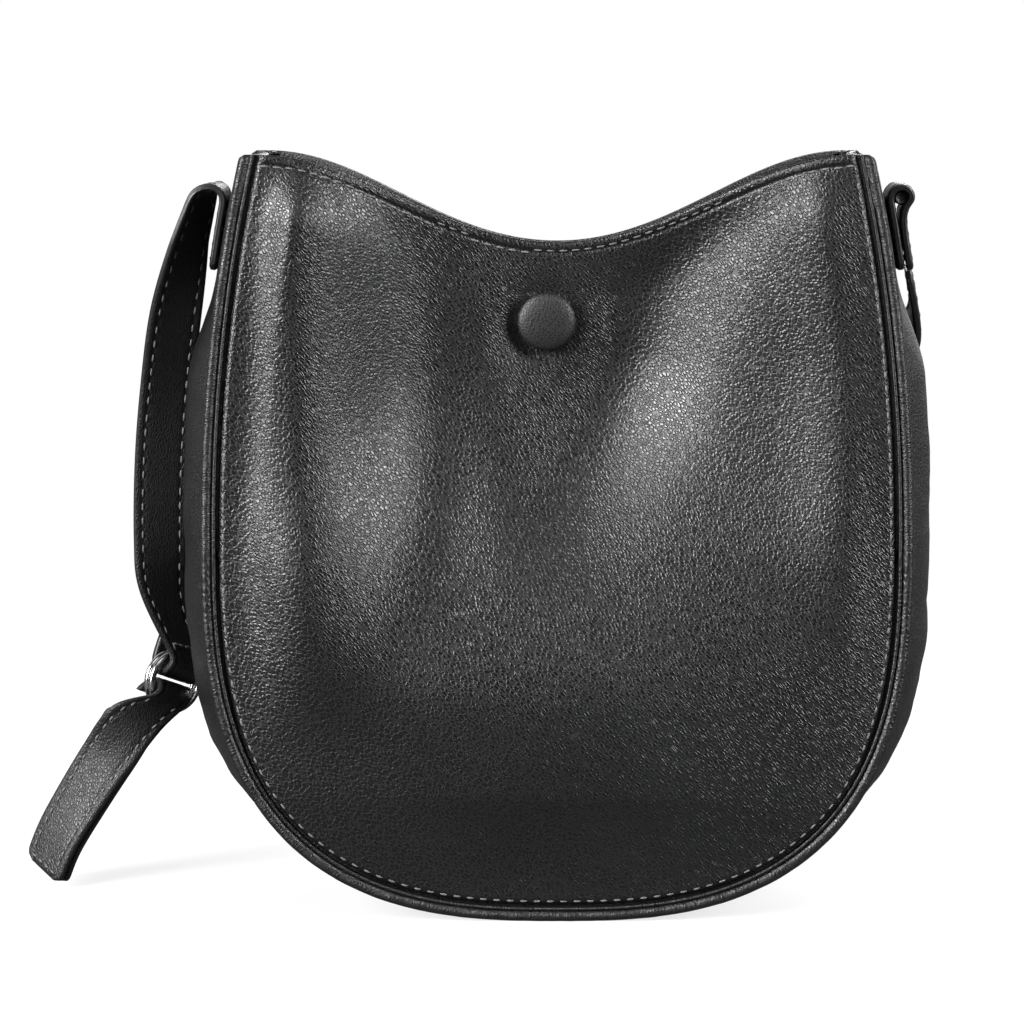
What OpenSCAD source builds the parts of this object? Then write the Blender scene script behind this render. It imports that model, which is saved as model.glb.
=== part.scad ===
// Saddle shoulder bag that stands on its base with the snap closed.
// +X is the viewer's right, the front panel faces -Y, +Z is up, and the
// origin lies under the middle of the base.

/* [Body outline] */
// Half width at the widest place, measured to the outside of the piping
widest_half_w = 103; // [85:1:120]
// Height at which the bag is widest
widest_z = 108; // [90:1:125]
// Height of the top corners
corner_z = 222; // [200:1:245]
// How far each side draws in between the widest place and its corner
side_taper = 12; // [6:0.5:16]
// How far the top edge dips between the corners
top_dip = 26; // [14:1:34]
// Half the depth of the bag at its base, seam to seam
base_half_d = 35; // [30:1:42]
// Half the depth at the top corners
corner_half_d = 22; // [18:1:28]
// How far the lower part of each panel swells out
belly = 6.5; // [2:0.5:10]
// How far the sides of the gusset swell out between the seams
gusset_bulge = 8.8; // [4:0.2:11]

/* [Leather] */
// Thickness of the front and back panels
panel_t = 1.8; // [1.4:0.1:2.2]
// Thickness of the gusset
gusset_t = 1.6; // [1.2:0.1:2]
// Thickness of the facing inside the mouth
facing_t = 1; // [0.8:0.1:1.3]
// Height of the facing inside the mouth
facing_h = 32; // [29:1:38]
// Thickness of the lining cloth
lining_t = 0.4; // [0.3:0.05:0.6]

/* [Piping] */
// Outside diameter of the piping
piping_d = 3.2; // [2.8:0.1:3.6]
// Diameter of the cord inside the piping
piping_cord_d = 1.8; // [1.4:0.1:1.9]
// Width of the piping's flange, which is caught in the seam
flange_w = 4; // [3:0.5:5]
// Thickness of one ply of the piping's leather
piping_ply = 0.5; // [0.4:0.05:0.55]

/* [Base board] */
// Half length of the stiffener along the base
board_half_l = 46; // [38:1:52]
// Thickness of the stiffener
board_t = 1.2; // [0.8:0.1:1.6]

/* [Closure] */
// Place of the button to the right of the middle
button_x = -3; // [-6:0.5:6]
// Height of the button's middle
button_z = 173; // [170:0.5:177]
// Diameter of the leather-covered button
button_d = 17; // [14:0.5:19]
// Height of the button's dome
button_h = 4.2; // [3.5:0.1:5.5]
// Thickness of the button's leather cover
cover_t = 0.9; // [0.6:0.1:1.2]
// Diameter of the stem through the leather
stem_d = 3; // [2.4:0.1:4]
// Diameter of the snap's two halves
snap_d = 13; // [10:0.5:15]
// Thickness of the closed snap
snap_t = 4.4; // [4:0.1:5.2]

/* [Strap] */
// Width of the strap
strap_w = 16.5; // [14:0.5:16.5]
// Thickness of the strap, two plies together
strap_t = 2.2; // [1.8:0.1:2.4]
// Length of the strap's sewn legs on the gusset
tab_l = 21; // [15:1:23]
// Height of the middle of the strap's folds over the tabs
fold_z = 209; // [200:1:212]
// Radius of the left fold, to the middle of the leather
left_fold_r = 3.4; // [2.6:0.1:4.2]
// Radius of the right fold, to the middle of the leather
right_fold_r = 3.2; // [2.6:0.1:4]
// Length of the tail that hangs from the rings
tail_l = 66; // [55:1:70]

/* [Rings] */
// Width of the strap where it is folded through the rings
neck_w = 13; // [11:0.5:14]
// How much wider the two adjusting rings are inside than the strap's neck
ring_play = 2.5; // [2.5:0.25:3.5]
// Diameter of their wire
ring_wire_d = 2; // [1.6:0.1:2.2]
// How far the rings' middle lies outside the bag's widest line
ring_beside = 14; // [13:0.5:19]
// How far it lies behind the bag's middle
ring_back = 20; // [18:0.5:24]
// Height of the rings' middle
ring_z = 61; // [59:0.5:66]

/* [Hidden] */
$fn = 48;

// Colours
black_leather = [0.10, 0.10, 0.11];
edge_black = [0.05, 0.05, 0.055];
lining_black = [0.16, 0.16, 0.17];
board_grey = [0.45, 0.43, 0.40];
cord_white = [0.85, 0.84, 0.80];
steel = [0.75, 0.75, 0.74];

// Shape of the outline
bowl_power = 2.7;      // squareness of the bowl
taper_power = 2.15;    // how late the sides draw in
depth_power = 1.3;     // how late the depth draws in
half_cols = 12;        // columns of a panel on each side of the middle
rows = 12;             // rows of a panel from its edge to its top

// The gusset's swell grows from the base and is pinched at the mouth
swell_from_z = 4;
base_flat_z = 30;      // height over which its section rounds off from the flat base
base_power = 6;
side_power = 2;
base_sag = 0.3;        // how far the base would hang below the floor, before it is cut flat
swell_full_z = 58;
tab_pinch_l = 32;
tab_pinch_share = 0.6;
mouth_pinch_z = 209;
mouth_pinch_share = 0.75;

// The closed snap pulls the middle of each panel in
pull_low_z = 62;
pull_high_z = 165;
pull_power = 1.5;
pull_flat_share = 0.09;
belly_peak_z = 62;
belly_low_share = 0.35;

// Clearances between sewn layers
seam_gap = 0.15;
body_gap = 0.3;
facing_gap = 0.4;
lining_gap = 1.1;
flange_slit = 0.1;
pivot_gap = 0.45;      // from the strap's pivot to each cut end
cut_over = 1;          // overrun of every cut
panel_inset = 4.4;     // from the outer line to the edge of a panel
ridge_w = 0.6;         // raised edge between the piping and the panel
ridge_y = 0.2;         // its depth behind the panel's face
cord_gap = 0.08;

half_t = strap_t / 2;
ring_out = widest_half_w + ring_beside;
ring_inner_d = neck_w + ring_play;
piping_r = piping_d / 2;
cord_r = piping_cord_d / 2;
meet_half = panel_t + facing_gap + facing_t + seam_gap + snap_t / 2;
flange_y0 = panel_t + seam_gap;
flange_t = 2 * piping_ply + flange_slit;
gusset_y0 = flange_y0 + flange_t + body_gap;
gusset_inset = piping_r + seam_gap;

function smooth(t) = let (s = min(1, max(0, t))) s * s * (3 - 2 * s);
function unit(v) = v / norm(v);

// Half depth of the bag at the seams
function half_d(z) =
    base_half_d - (base_half_d - corner_half_d) * pow(max(0, z) / corner_z, depth_power);
function taper_at(z) =
    z > widest_z ? side_taper * pow((z - widest_z) / (corner_z - widest_z), taper_power) : 0;

// Column i of a panel: its angle round the bowl, its share of the half width, its lowest point
function col_angle(i) = 90 * pow(abs(i) / half_cols, bowl_power / 2);
function col_share(i) = sign(i) * pow(sin(col_angle(i)), 2 / bowl_power);
function bowl_z(i, inset) =
    widest_z - (widest_z - inset) * pow(max(0, cos(col_angle(i))), 2 / bowl_power);

// Station i of the seam: columns along the bowl, then rows up each side
last = half_cols + rows;
function side_z(j) = widest_z + (corner_z - widest_z) * j / rows;
function seam_xz(i, inset) = abs(i) <= half_cols
    ? [col_share(i) * (widest_half_w - inset), bowl_z(i, inset)]
    : let (z = side_z(abs(i) - half_cols))
        [sign(i) * (widest_half_w - inset - taper_at(z)), z];

// Top edge, lowest in the middle
function top_z(share) = corner_z - top_dip * pow(cos(90 * share), 2);

// Half depth of a panel's outer face at a share of the half width and a height
function belly_at(share, z) = let (low = smooth(z / belly_peak_z),
    high = 1 - smooth((z - belly_peak_z) / (corner_z - belly_peak_z)))
    belly * (1 - pow(abs(share), 2)) * (belly_low_share + (1 - belly_low_share) * low)
    * min(1, (low + belly_low_share)) * high;
function pull_at(share, z) = let (s = max(0, min(1, abs(share)) - pull_flat_share))
    pow(cos(90 * s / (1 - pull_flat_share)), pull_power)
    * smooth((z - pull_low_z) / (pull_high_z - pull_low_z));
function face_d(share, z) = let (p = pull_at(share, z))
    (half_d(z) + belly_at(share, z)) * (1 - p) + meet_half * p;

// Swell of the gusset's middle beyond its edges at a height
rest_swell = gusset_inset + base_sag;
function swell(z) = (rest_swell + (gusset_bulge - rest_swell)
    * smooth((z - swell_from_z) / (swell_full_z - swell_from_z)))
    * (1 - tab_pinch_share * smooth((z - tab_z + body_gap + tab_pinch_l) / tab_pinch_l))
    - gusset_bulge * mouth_pinch_share * smooth((z - mouth_pinch_z) / (corner_z - mouth_pinch_z));
// Share of the swell at a share s of the way from the middle to the seam
function swell_share(z, s) =
    1 - pow(abs(s), side_power + (base_power - side_power) * (1 - smooth(z / base_flat_z)));
// Half width of the gusset's outer face in the middle of its depth
function gusset_out(z) = widest_half_w - taper_at(z) - gusset_inset + swell(z);

// Grid of points, rows by columns, wound into a closed shell of two faces
function grid_faces(n, m) = let (o = n * m) concat(
    [for (i = [0:n - 2], j = [0:m - 2]) let (a = i * m + j) each
        [[a, a + 1, a + m + 1], [a, a + m + 1, a + m]]],
    [for (i = [0:n - 2], j = [0:m - 2]) let (a = o + i * m + j) each
        [[a, a + m + 1, a + 1], [a, a + m, a + m + 1]]],
    [for (i = [0:n - 2]) let (a = i * m) each
        [[a, a + m, o + a + m], [a, o + a + m, o + a]]],
    [for (i = [0:n - 2]) let (a = i * m + m - 1) each
        [[a, o + a + m, a + m], [a, o + a, o + a + m]]],
    [for (j = [0:m - 2]) let (a = j) each [[a, o + a + 1, a + 1], [a, o + a, o + a + 1]]],
    [for (j = [0:m - 2]) let (a = (n - 1) * m + j) each
        [[a, a + 1, o + a + 1], [a, o + a + 1, o + a]]]);
module shell(outer, inner) {
    n = len(outer);
    m = len(outer[0]);
    polyhedron(points = concat([for (r = outer) each r], [for (r = inner) each r]),
        faces = grid_faces(n, m));
}

// Closed tube: loops of points, each loop the section at one station
module tube(loops) {
    n = len(loops);
    m = len(loops[0]);
    polyhedron(points = [for (l = loops) each l], faces = concat(
        [[for (j = [0:m - 1]) j]],
        [for (i = [0:n - 2], j = [0:m - 1]) let (a = i * m + j, b = i * m + (j + 1) % m) each
            [[a, a + m, b + m], [a, b + m, b]]],
        [[for (j = [m - 1:-1:0]) (n - 1) * m + j]]));
}

// One face of a panel, set in by depth from its outer face; side is -1 in front, 1 behind
function panel_face(side, inset, depth, low_share, high) = [for (i = [-half_cols:half_cols])
    let (s = col_share(i), zb = bowl_z(i, inset), zt = top_z(s) - high)
    [for (j = [0:rows]) let (z = zb + (zt - zb) * (low_share + (1 - low_share) * j / rows))
        [s * (widest_half_w - inset - taper_at(z)), side * (face_d(s, z) - depth), z]]];

module panel(side) {
    difference() {
        shell(panel_face(side, panel_inset, side < 0 ? 0 : panel_t, 0, 0),
            panel_face(side, panel_inset, side < 0 ? panel_t : 0, 0, 0));
        if (side < 0) stem_bore();
    }
}

module stem_bore() {
    translate([button_x, -meet_half - cut_over, button_z]) rotate([-90, 0, 0])
        cylinder(d = stem_d + 2 * seam_gap, h = meet_half);
}

// The facing is a band along the mouth, inside the panel and between the piping's flanges
flange_end = panel_inset + flange_w;
facing_inset = flange_end + seam_gap;
facing_rows = 3;
function facing_face(side, depth) = [for (i = [-half_cols + 1:half_cols - 1])
    let (s = col_share(i) * (widest_half_w - facing_inset) / (widest_half_w - panel_inset))
    [for (j = [0:facing_rows]) let (z = top_z(s) - facing_h * (1 - j / facing_rows))
        [s * panel_half_w(z), side * (face_d(s, z) - depth), z]]];
module facing(side) {
    outer = panel_t + facing_gap;
    inner = outer + facing_t;
    difference() {
        shell(facing_face(side, side < 0 ? outer : inner), facing_face(side, side < 0 ? inner : outer));
        if (side < 0) stem_bore();
    }
}

// The lining hangs from the facing's lower edge
lining_rows = 6;
lining_share = (widest_half_w - flange_end) / (widest_half_w - panel_inset);
function lining_face(side, depth) = [for (i = [-half_cols + 1:half_cols - 1])
    let (s = col_share(i) * lining_share, zb = bowl_z(i, flange_end), zt = top_z(s) - facing_h - body_gap)
    [for (j = [0:lining_rows]) let (z = zb + (zt - zb) * j / lining_rows)
        [s * panel_half_w(z), side * (face_d(s, z) - depth), z]]];
module lining(side) {
    outer = flange_y0 + flange_t + lining_gap;
    inner = outer + lining_t;
    shell(lining_face(side, side < 0 ? outer : inner), lining_face(side, side < 0 ? inner : outer));
}

// Section of the piping as [inset from the outer line, depth behind the panel's face]:
// a leather strip that wraps the cord, with a raised edge beside the panel and a
// flange of two plies that the seam catches
piping_y = piping_r - ridge_y;
wrap_from = 60;        // where the strip leaves the cord for the flange, as an angle round it
wrap_steps = 7;
function wrap_pt(r, a) = [piping_r + r * cos(a), piping_y - r * sin(a)];
ply_y = flange_y0 + piping_ply;
strip_outer = concat(
    [[flange_end, flange_y0], [panel_inset, flange_y0], [panel_inset - seam_gap, ridge_y],
        [panel_inset - seam_gap - ridge_w, ridge_y]],
    [for (a = [20:40:180]) wrap_pt(piping_r, a)],
    [wrap_pt(piping_r, 230), wrap_pt(piping_r, 270)],
    [[piping_d, flange_y0 + flange_t], [flange_end, flange_y0 + flange_t]]);
strip_inner = concat(
    [[flange_end, ply_y], [panel_inset, ply_y], [piping_d, ply_y]],
    [for (k = [0:wrap_steps])
        wrap_pt(cord_r + cord_gap, wrap_from + (360 - 2 * wrap_from) * k / wrap_steps)],
    [[piping_d, ply_y + flange_slit], [flange_end, ply_y + flange_slit]]);
// The flange follows the panel where the closed snap pulls it in
function panel_half_w(z) = widest_half_w - panel_inset - taper_at(z);
function at_seam(side, i, p) = let (q = seam_xz(i, p[0]),
    d = min(half_d(q[1]), face_d(min(1, abs(q[0]) / panel_half_w(q[1])), q[1])))
    [q[0], side * ((p[0] > panel_inset ? d : half_d(q[1])) - p[1]), q[1]];
function along_seam(side, section) = [for (i = [-last:last]) [for (p = section) at_seam(side, i, p)]];
module piping(side) {
    shell(along_seam(side, side < 0 ? strip_inner : strip_outer),
        along_seam(side, side < 0 ? strip_outer : strip_inner));
}
module piping_cord(side) {
    tube([for (i = [-last:last]) [for (j = [0:5])
        at_seam(side, i, wrap_pt(cord_r, side < 0 ? -60 * j : 60 * j))]]);
}

// The gusset runs round the bowl between the two seams and swells between them
gusset_steps = 6;
function gusset_face(depth) = [for (i = [-last:last]) let (z = seam_xz(i, 0)[1],
    d = half_d(z) - gusset_y0)
    [for (j = [0:gusset_steps]) let (s = 2 * j / gusset_steps - 1,
        q = seam_xz(i, gusset_inset + depth - swell(z) * swell_share(z, s)))
        [q[0], s * d, max(depth, q[1])]]];
module gusset_shell() {
    shell(gusset_face(gusset_t), gusset_face(0));
}

// Inside the gusset: the board on the base and the lining round the whole of it
board_in = gusset_inset + gusset_t + seam_gap;
board_angle = asin(pow(board_half_l / (widest_half_w - board_in), bowl_power / 2));
board_end = half_cols * pow(board_angle / 90, 2 / bowl_power);
board_stations = concat([-board_end], [for (i = [1 - ceil(board_end):ceil(board_end) - 1]) i], [board_end]);
function board_face(depth) = [for (i = board_stations) let (q = seam_xz(i, board_in + depth))
    [for (e = [-1, 1]) [q[0], e * (base_half_d - 2 * gusset_y0), q[1]]]];
liner_in = board_in + board_t + body_gap;
liner_step = 2;
function liner_face(depth) = [for (i = [-last + liner_step:liner_step:last - liner_step])
    let (z = seam_xz(i, 0)[1], d = half_d(z) - 2 * gusset_y0)
    [for (j = [0:2:gusset_steps]) let (s = 2 * j / gusset_steps - 1,
        q = seam_xz(i, liner_in + depth - (swell(z) - rest_swell) * swell_share(z, s)))
        [q[0], s * d, q[1]]]];

// Closure, on an axis along Y
module on_button() {
    translate([button_x, 0, button_z]) rotate([90, 0, 0]) children();
}
// A dome with its flat side down, as a profile that turns about the axis
module dome(d, h, rim) {
    r = d / 2;
    ball = (r * r + (h - rim) * (h - rim)) / (2 * (h - rim));
    intersection() {
        translate([0, 0, h - ball]) sphere(r = ball);
        cylinder(d = d, h = h);
    }
}
rim_share = 0.45;
cap_rim = button_h * rim_share;
cap_y = meet_half + body_gap;
shell_gap = 0.1;
bore_share = 0.45;
socket_bore_d = snap_d * bore_share;

// A strap is a flat section carried along stations [place, direction of its width, width];
// where a station has no width, the strap has its full one
function ribbon_tan(st, i) = unit(st[min(i + 1, len(st) - 1)][0] - st[max(i - 1, 0)][0]);
module ribbon(st, w, t) {
    tube([for (i = [0:len(st) - 1]) let (p = st[i][0], a = unit(st[i][1]),
        e = a * (is_undef(st[i][2]) ? w : st[i][2]) / 2, n = unit(cross(ribbon_tan(st, i), a)) * t / 2)
        [p - e - n, p + e - n, p + e + n, p - e + n]]);
}
// A smooth curve through control points of any length of vector
function curve_at(c, i, t) = let (m = len(c) - 1, a = c[max(0, i - 1)], b = c[i],
    d = c[min(m, i + 1)], e = c[min(m, i + 2)])
    b + (d - a) * t / 2 + (a * 2 - b * 5 + d * 4 - e) * t * t / 2
    + (b * 3 - a - d * 3 + e) * t * t * t / 2;
function curve(c, n) = concat([for (i = [0:len(c) - 2], k = [0:n - 1]) curve_at(c, i, k / n)],
    [c[len(c) - 1]]);
// Direction of the strap's width: turned by turn about Z from +X, its far end lowered by slant
function width_dir(turn, slant) = [cos(turn) * cos(slant), sin(turn) * cos(slant), -sin(slant)];
// Control points hold the place, turn and slant, and the width
function stations(c, n) = [for (q = curve(c, n)) [[q[0], q[1], q[2]], width_dir(q[3], q[4]), q[5]]];

// Left side: the strap's sewn leg, its fold, and the stretch that hangs outside the bag
tab_z = fold_z - tab_l;
leg_x = gusset_out(fold_z) + seam_gap + half_t;
left_fold_x = -leg_x - left_fold_r;
arc_step = 15;
pivot_deg = asin(pivot_gap / left_fold_r);
fold_turn = 84;        // the strap's turn at the top of its fold
fold_twist_share = 0.2;
arc_end = 80;
function left_arc(a, turn) = [[left_fold_x + left_fold_r * sin(a), 0, fold_z + left_fold_r * cos(a)],
    width_dir(turn, 0)];
function tab_leg_x(z) = gusset_out(z) + seam_gap + half_t;
module left_tab_body() {
    ribbon(concat([for (k = [0:4]) let (z = tab_z + (fold_z - tab_z) * k / 4)
            [[-tab_leg_x(z), 0, z], [0, 1, 0]]],
        [for (a = [90 - arc_step:-arc_step:pivot_deg]) left_arc(a, 90 - (90 - fold_turn) * (90 - a) / 90)]),
        strap_w, strap_t);
}

// The rings' own axes: width along the slanted bar, up in the ring's plane, and outward
ring_turn = 42;
ring_slant = 22;
ring_c = [-ring_out, ring_back, ring_z];
ring_w = width_dir(ring_turn, ring_slant);
ring_u = [cos(ring_turn) * sin(ring_slant), sin(ring_turn) * sin(ring_slant), cos(ring_slant)];
ring_n = [sin(ring_turn), -cos(ring_turn), 0];
ring_r = (ring_inner_d + ring_wire_d) / 2;
ring_pitch = ring_wire_d + body_gap;
swing_gap = 1.6;       // room for the rings to swing between the strap's legs
bend_r = ring_pitch / 2 + ring_wire_d / 2 + swing_gap + half_t;
bend_h = bend_r + half_t + body_gap;
function by_ring(n, u) = ring_c + ring_n * n + ring_u * u;

// The hanging stretch as shares of its reach out, back and down, with its turn and slant
hang_shares = [[0.33, 0.07, 0.09, 55, 0], [0.67, 0.2, 0.23, 30, 0], [0.91, 0.4, 0.37, 23, 0],
    [1.09, 0.55, 0.53, 16, 0], [1.18, 0.7, 0.7, 20, 2], [1.15, 0.82, 0.82, 38, 12]];
hang_x = left_fold_x - left_fold_r;
hang_points = concat([for (s = hang_shares) [hang_x + s[0] * (-ring_out - hang_x),
        s[1] * ring_back, fold_z + s[2] * (ring_z - fold_z), s[3], s[4], strap_w]],
    [concat(by_ring(bend_r, bend_h), [ring_turn, ring_slant, neck_w])]);
// The end is sewn back against the strap: its place up the strap and how far it closes in
lap_shares = [[0.25, 0], [0.6, 0.25]];
module strap_left_body() {
    ribbon(concat(
        [for (a = [-pivot_deg:-arc_step:-arc_end]) left_arc(a, fold_turn + a * fold_twist_share)],
        stations(hang_points, 4),
        [for (a = [30:30:180]) [by_ring(bend_r * cos(a), bend_h - bend_r * sin(a)), ring_w, neck_w]],
        [for (s = lap_shares)
            [by_ring(-bend_r + s[1] * strap_t, bend_h + s[0] * strap_w), ring_w, neck_w]]),
        strap_w, strap_t);
}

// The tail leaves the rings to the lower left, with its turn and slant along its length
tail_gap = 0.6;
tail_shift = 0.6;      // how far the tail has slid along the rings' bar
tail_lean = 49;
tail_out = [-sin(tail_lean) * cos(ring_turn), -sin(tail_lean) * sin(ring_turn), -cos(tail_lean)];
function by_tail(n, d) = ring_c + ring_w * tail_shift + ring_n * n + tail_out * d;
tail_start = by_tail(bend_r, bend_h);
tail_shares = [[0.15, 0.07, 16, 33], [0.29, 0.25, -20, 32], [0.416, 0.44, -33, 29],
    [0.526, 0.625, -40, 27], [0.589, 0.78, -41, 26]];
tail_back_share = 0.1;
function tail_point(s) = [tail_start[0] - s[0] * tail_l, tail_start[1] - tail_back_share * tail_l,
    tail_start[2] - s[1] * tail_l, s[2], s[3], strap_w];
tail_points = [for (s = tail_shares) tail_point(s)];
function tail_stations() =
    stations(concat([concat(tail_start, [ring_turn, ring_slant, neck_w])], tail_points), 4);
module tail_front_body() {
    ribbon(concat(
        [for (a = [180:-30:30]) [by_tail(bend_r * cos(a), bend_h - bend_r * sin(a)), ring_w, neck_w]],
        tail_stations()), strap_w, strap_t);
}
// The rear layer lies against the back of the front one
rear_first = 4;
module tail_rear_body() {
    st = tail_stations();
    back = [for (i = [0:len(st) - 1]) unit(cross(ribbon_tan(st, i), st[i][1]))];
    off = strap_t + tail_gap;
    ribbon([for (i = [rear_first:len(st) - 1])
        [st[i][0] + back[i] * off * sign(back[i][1]), st[i][1], st[i][2]]], strap_w, strap_t);
}

// Right side: the sewn leg folds over a core into an eye and comes down outside, where it
// turns a little towards the front and closes on the first leg below the eye
right_fold_x = leg_x + right_fold_r;
foot_turn = 84;
eye_power = 3;         // how soon the legs close below the eye
function leg_room(turn) = strap_t + seam_gap + strap_w / 2 * cos(turn);
module right_tab_body() {
    ribbon(concat([for (k = [0:4]) let (z = tab_z + (fold_z - tab_z) * k / 4)
            [[tab_leg_x(z), 0, z], width_dir(90, 0)]],
        [for (a = [-60:30:90]) [[right_fold_x + right_fold_r * sin(a), 0,
            fold_z + right_fold_r * cos(a)], width_dir(90, 0)]],
        [for (k = [1:4]) let (z = fold_z - (fold_z - tab_z) * k / 4,
            turn = 90 - (90 - foot_turn) * k / 4, room = leg_room(turn))
            [[tab_leg_x(z) + room + max(0, 2 * right_fold_r - room) * pow(1 - k / 4, eye_power), 0, z],
                width_dir(turn, 0)]]),
        strap_w, strap_t);
}
eye_core_share = 0.88;
module eye_core_body() {
    translate([right_fold_x, -strap_w * eye_core_share / 2, fold_z]) rotate([-90, 0, 0])
        cylinder(d = (2 * right_fold_r - strap_t) * eye_core_share, h = strap_w * eye_core_share);
}

// The long strap leaves the right tab, passes behind the bag and ends beside the rings
behind_gap = 1.2;
function behind(x, z) = max([for (k = [-1:1]) let (h = z + k * strap_w / 2)
    face_d(min(1, abs(x) / panel_half_w(h)), h)]) + behind_gap + half_t;
function beside(z) = gusset_out(z) + body_gap;
start_z = tab_z - body_gap;
turn_z = start_z - strap_w;
corner_x = widest_half_w - taper_at(turn_z) + strap_t;
// At its start the strap leans back: shares of its width backwards and down, with turn and slant
start_shares = [[0.5, 0, 86, -8], [0.95, 0, 95, -35], [0, 0.6, 125, -60]];
// At its end it comes forward beside the rings: shares of the bend's height down, with turn and slant
end_shares = [[1.4, 145, -62], [1.8, 110, -35]];
// Shares of the half width and of the corner's height, with the strap's turn and slant
long_shares = [[0.84, 0.66, 170, -68], [0.55, 0.57, 180, -72], [0.1, 0.46, 180, -72],
    [-0.35, 0.36, 180, -74], [-0.72, 0.28, 178, -74]];
long_points = concat(
    [let (s = start_shares[0])
            [tab_leg_x(tab_z) + leg_room(foot_turn), s[0] * strap_w, start_z - s[1] * strap_w, s[2], s[3]],
        let (s = start_shares[1])
            [beside(turn_z) + strap_t, s[0] * strap_w, turn_z - s[1] * strap_w, s[2], s[3]],
        let (s = start_shares[2])
            [corner_x, half_d(turn_z) + 2 * strap_t, turn_z - s[1] * strap_w, s[2], s[3]]],
    [for (s = long_shares) let (x = s[0] * widest_half_w, z = s[1] * corner_z)
        [x, behind(x, z), z, s[2], s[3]]],
    [let (s = end_shares[0])
            [-widest_half_w + 2 * strap_t, base_half_d + strap_t, ring_z - bend_h * s[0], s[1], s[2]],
        let (s = end_shares[1])
            [-widest_half_w - strap_t, base_half_d - strap_t, ring_z - bend_h * s[0], s[1], s[2]]]);
function clear_of_panel(st) = let (p = st[0])
    [[p[0], abs(p[0]) < widest_half_w - taper_at(p[2]) ? max(p[1], behind(p[0], p[2])) : p[1], p[2]],
        st[1]];
module long_strap_body() {
    ribbon([for (st = stations(long_points, 4)) clear_of_panel(st)], strap_w, strap_t);
}

module back_panel() { color(black_leather) panel(1); }
module front_panel() { color(black_leather) panel(-1); }
module gusset() { color(black_leather) gusset_shell(); }
module back_piping() { color(edge_black) piping(1); }
module front_piping() { color(edge_black) piping(-1); }
module back_piping_cord() { color(cord_white) piping_cord(1); }
module front_piping_cord() { color(cord_white) piping_cord(-1); }
module back_facing() { color(black_leather) facing(1); }
module front_facing() { color(black_leather) facing(-1); }
module back_lining() { color(lining_black) lining(1); }
module front_lining() { color(lining_black) lining(-1); }
module gusset_lining() { color(lining_black) shell(liner_face(lining_t), liner_face(0)); }
module base_board() { color(board_grey) shell(board_face(board_t), board_face(0)); }
module left_tab() { color(black_leather) left_tab_body(); }
module right_tab() { color(black_leather) right_tab_body(); }
module right_eye_core() { color(black_leather) eye_core_body(); }
module long_strap() { color(black_leather) long_strap_body(); }
module strap_left() { color(black_leather) strap_left_body(); }
module tail_front() { color(black_leather) tail_front_body(); }
module tail_rear() { color(black_leather) tail_rear_body(); }
module ring_at(n) {
    color(steel) translate(by_ring(n, 0)) rotate([0, 0, ring_turn]) rotate([90, 0, 0])
        rotate_extrude() translate([ring_r, 0]) circle(d = ring_wire_d, $fn = 24);
}
module ring_front() { ring_at(ring_pitch / 2); }
module ring_rear() { ring_at(-ring_pitch / 2); }
module button_cover() {
    color(black_leather) on_button() translate([0, 0, cap_y]) difference() {
        dome(button_d, button_h, cap_rim);
        translate([0, 0, -cut_over]) cylinder(d = button_d - 2 * cover_t, h = cut_over + cap_rim - cover_t);
    }
}
module button_shell() {
    color(steel) on_button() union() {
        translate([0, 0, cap_y]) cylinder(d = button_d - 2 * cover_t - 2 * shell_gap,
            h = cap_rim - cover_t - shell_gap);
        translate([0, 0, snap_t / 2]) cylinder(d = stem_d, h = cap_y - snap_t / 2 + shell_gap);
    }
}
module snap_socket() {
    color(steel) on_button() difference() {
        cylinder(d = snap_d, h = snap_t / 2);
        translate([0, 0, -cut_over]) cylinder(d = socket_bore_d, h = snap_t / 2);
    }
}
module snap_stud() {
    color(steel) on_button() translate([0, 0, -snap_t / 2]) union() {
        cylinder(d = snap_d, h = snap_t / 2 - shell_gap);
        cylinder(d = socket_bore_d - 2 * body_gap, h = snap_t / 2 + (snap_t / 2 - cut_over) / 2);
    }
}
module socket_washer() {
    color(steel) on_button() translate([0, 0, meet_half - panel_t - facing_gap + shell_gap])
        difference() {
            cylinder(d = snap_d, h = facing_gap - 2 * shell_gap);
            translate([0, 0, -cut_over]) cylinder(d = stem_d + 2 * seam_gap, h = 3 * cut_over);
        }
}
module stud_washer() {
    color(steel) on_button() translate([0, 0, -(meet_half - panel_t - facing_gap + shell_gap)])
        mirror([0, 0, 1]) cylinder(d = snap_d, h = facing_gap - 2 * shell_gap);
}

back_panel();
gusset();
back_piping();
back_piping_cord();
back_facing();
back_lining();
gusset_lining();
base_board();
snap_stud();
stud_washer();
left_tab();
right_tab();
right_eye_core();
long_strap();
front_panel();
front_piping();
front_piping_cord();
front_facing();
front_lining();
button_cover();
button_shell();
snap_socket();
socket_washer();
strap_left();
ring_front();
ring_rear();
tail_front();
tail_rear();
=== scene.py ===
import math
import bpy
import numpy as np
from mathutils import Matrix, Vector, noise


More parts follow.
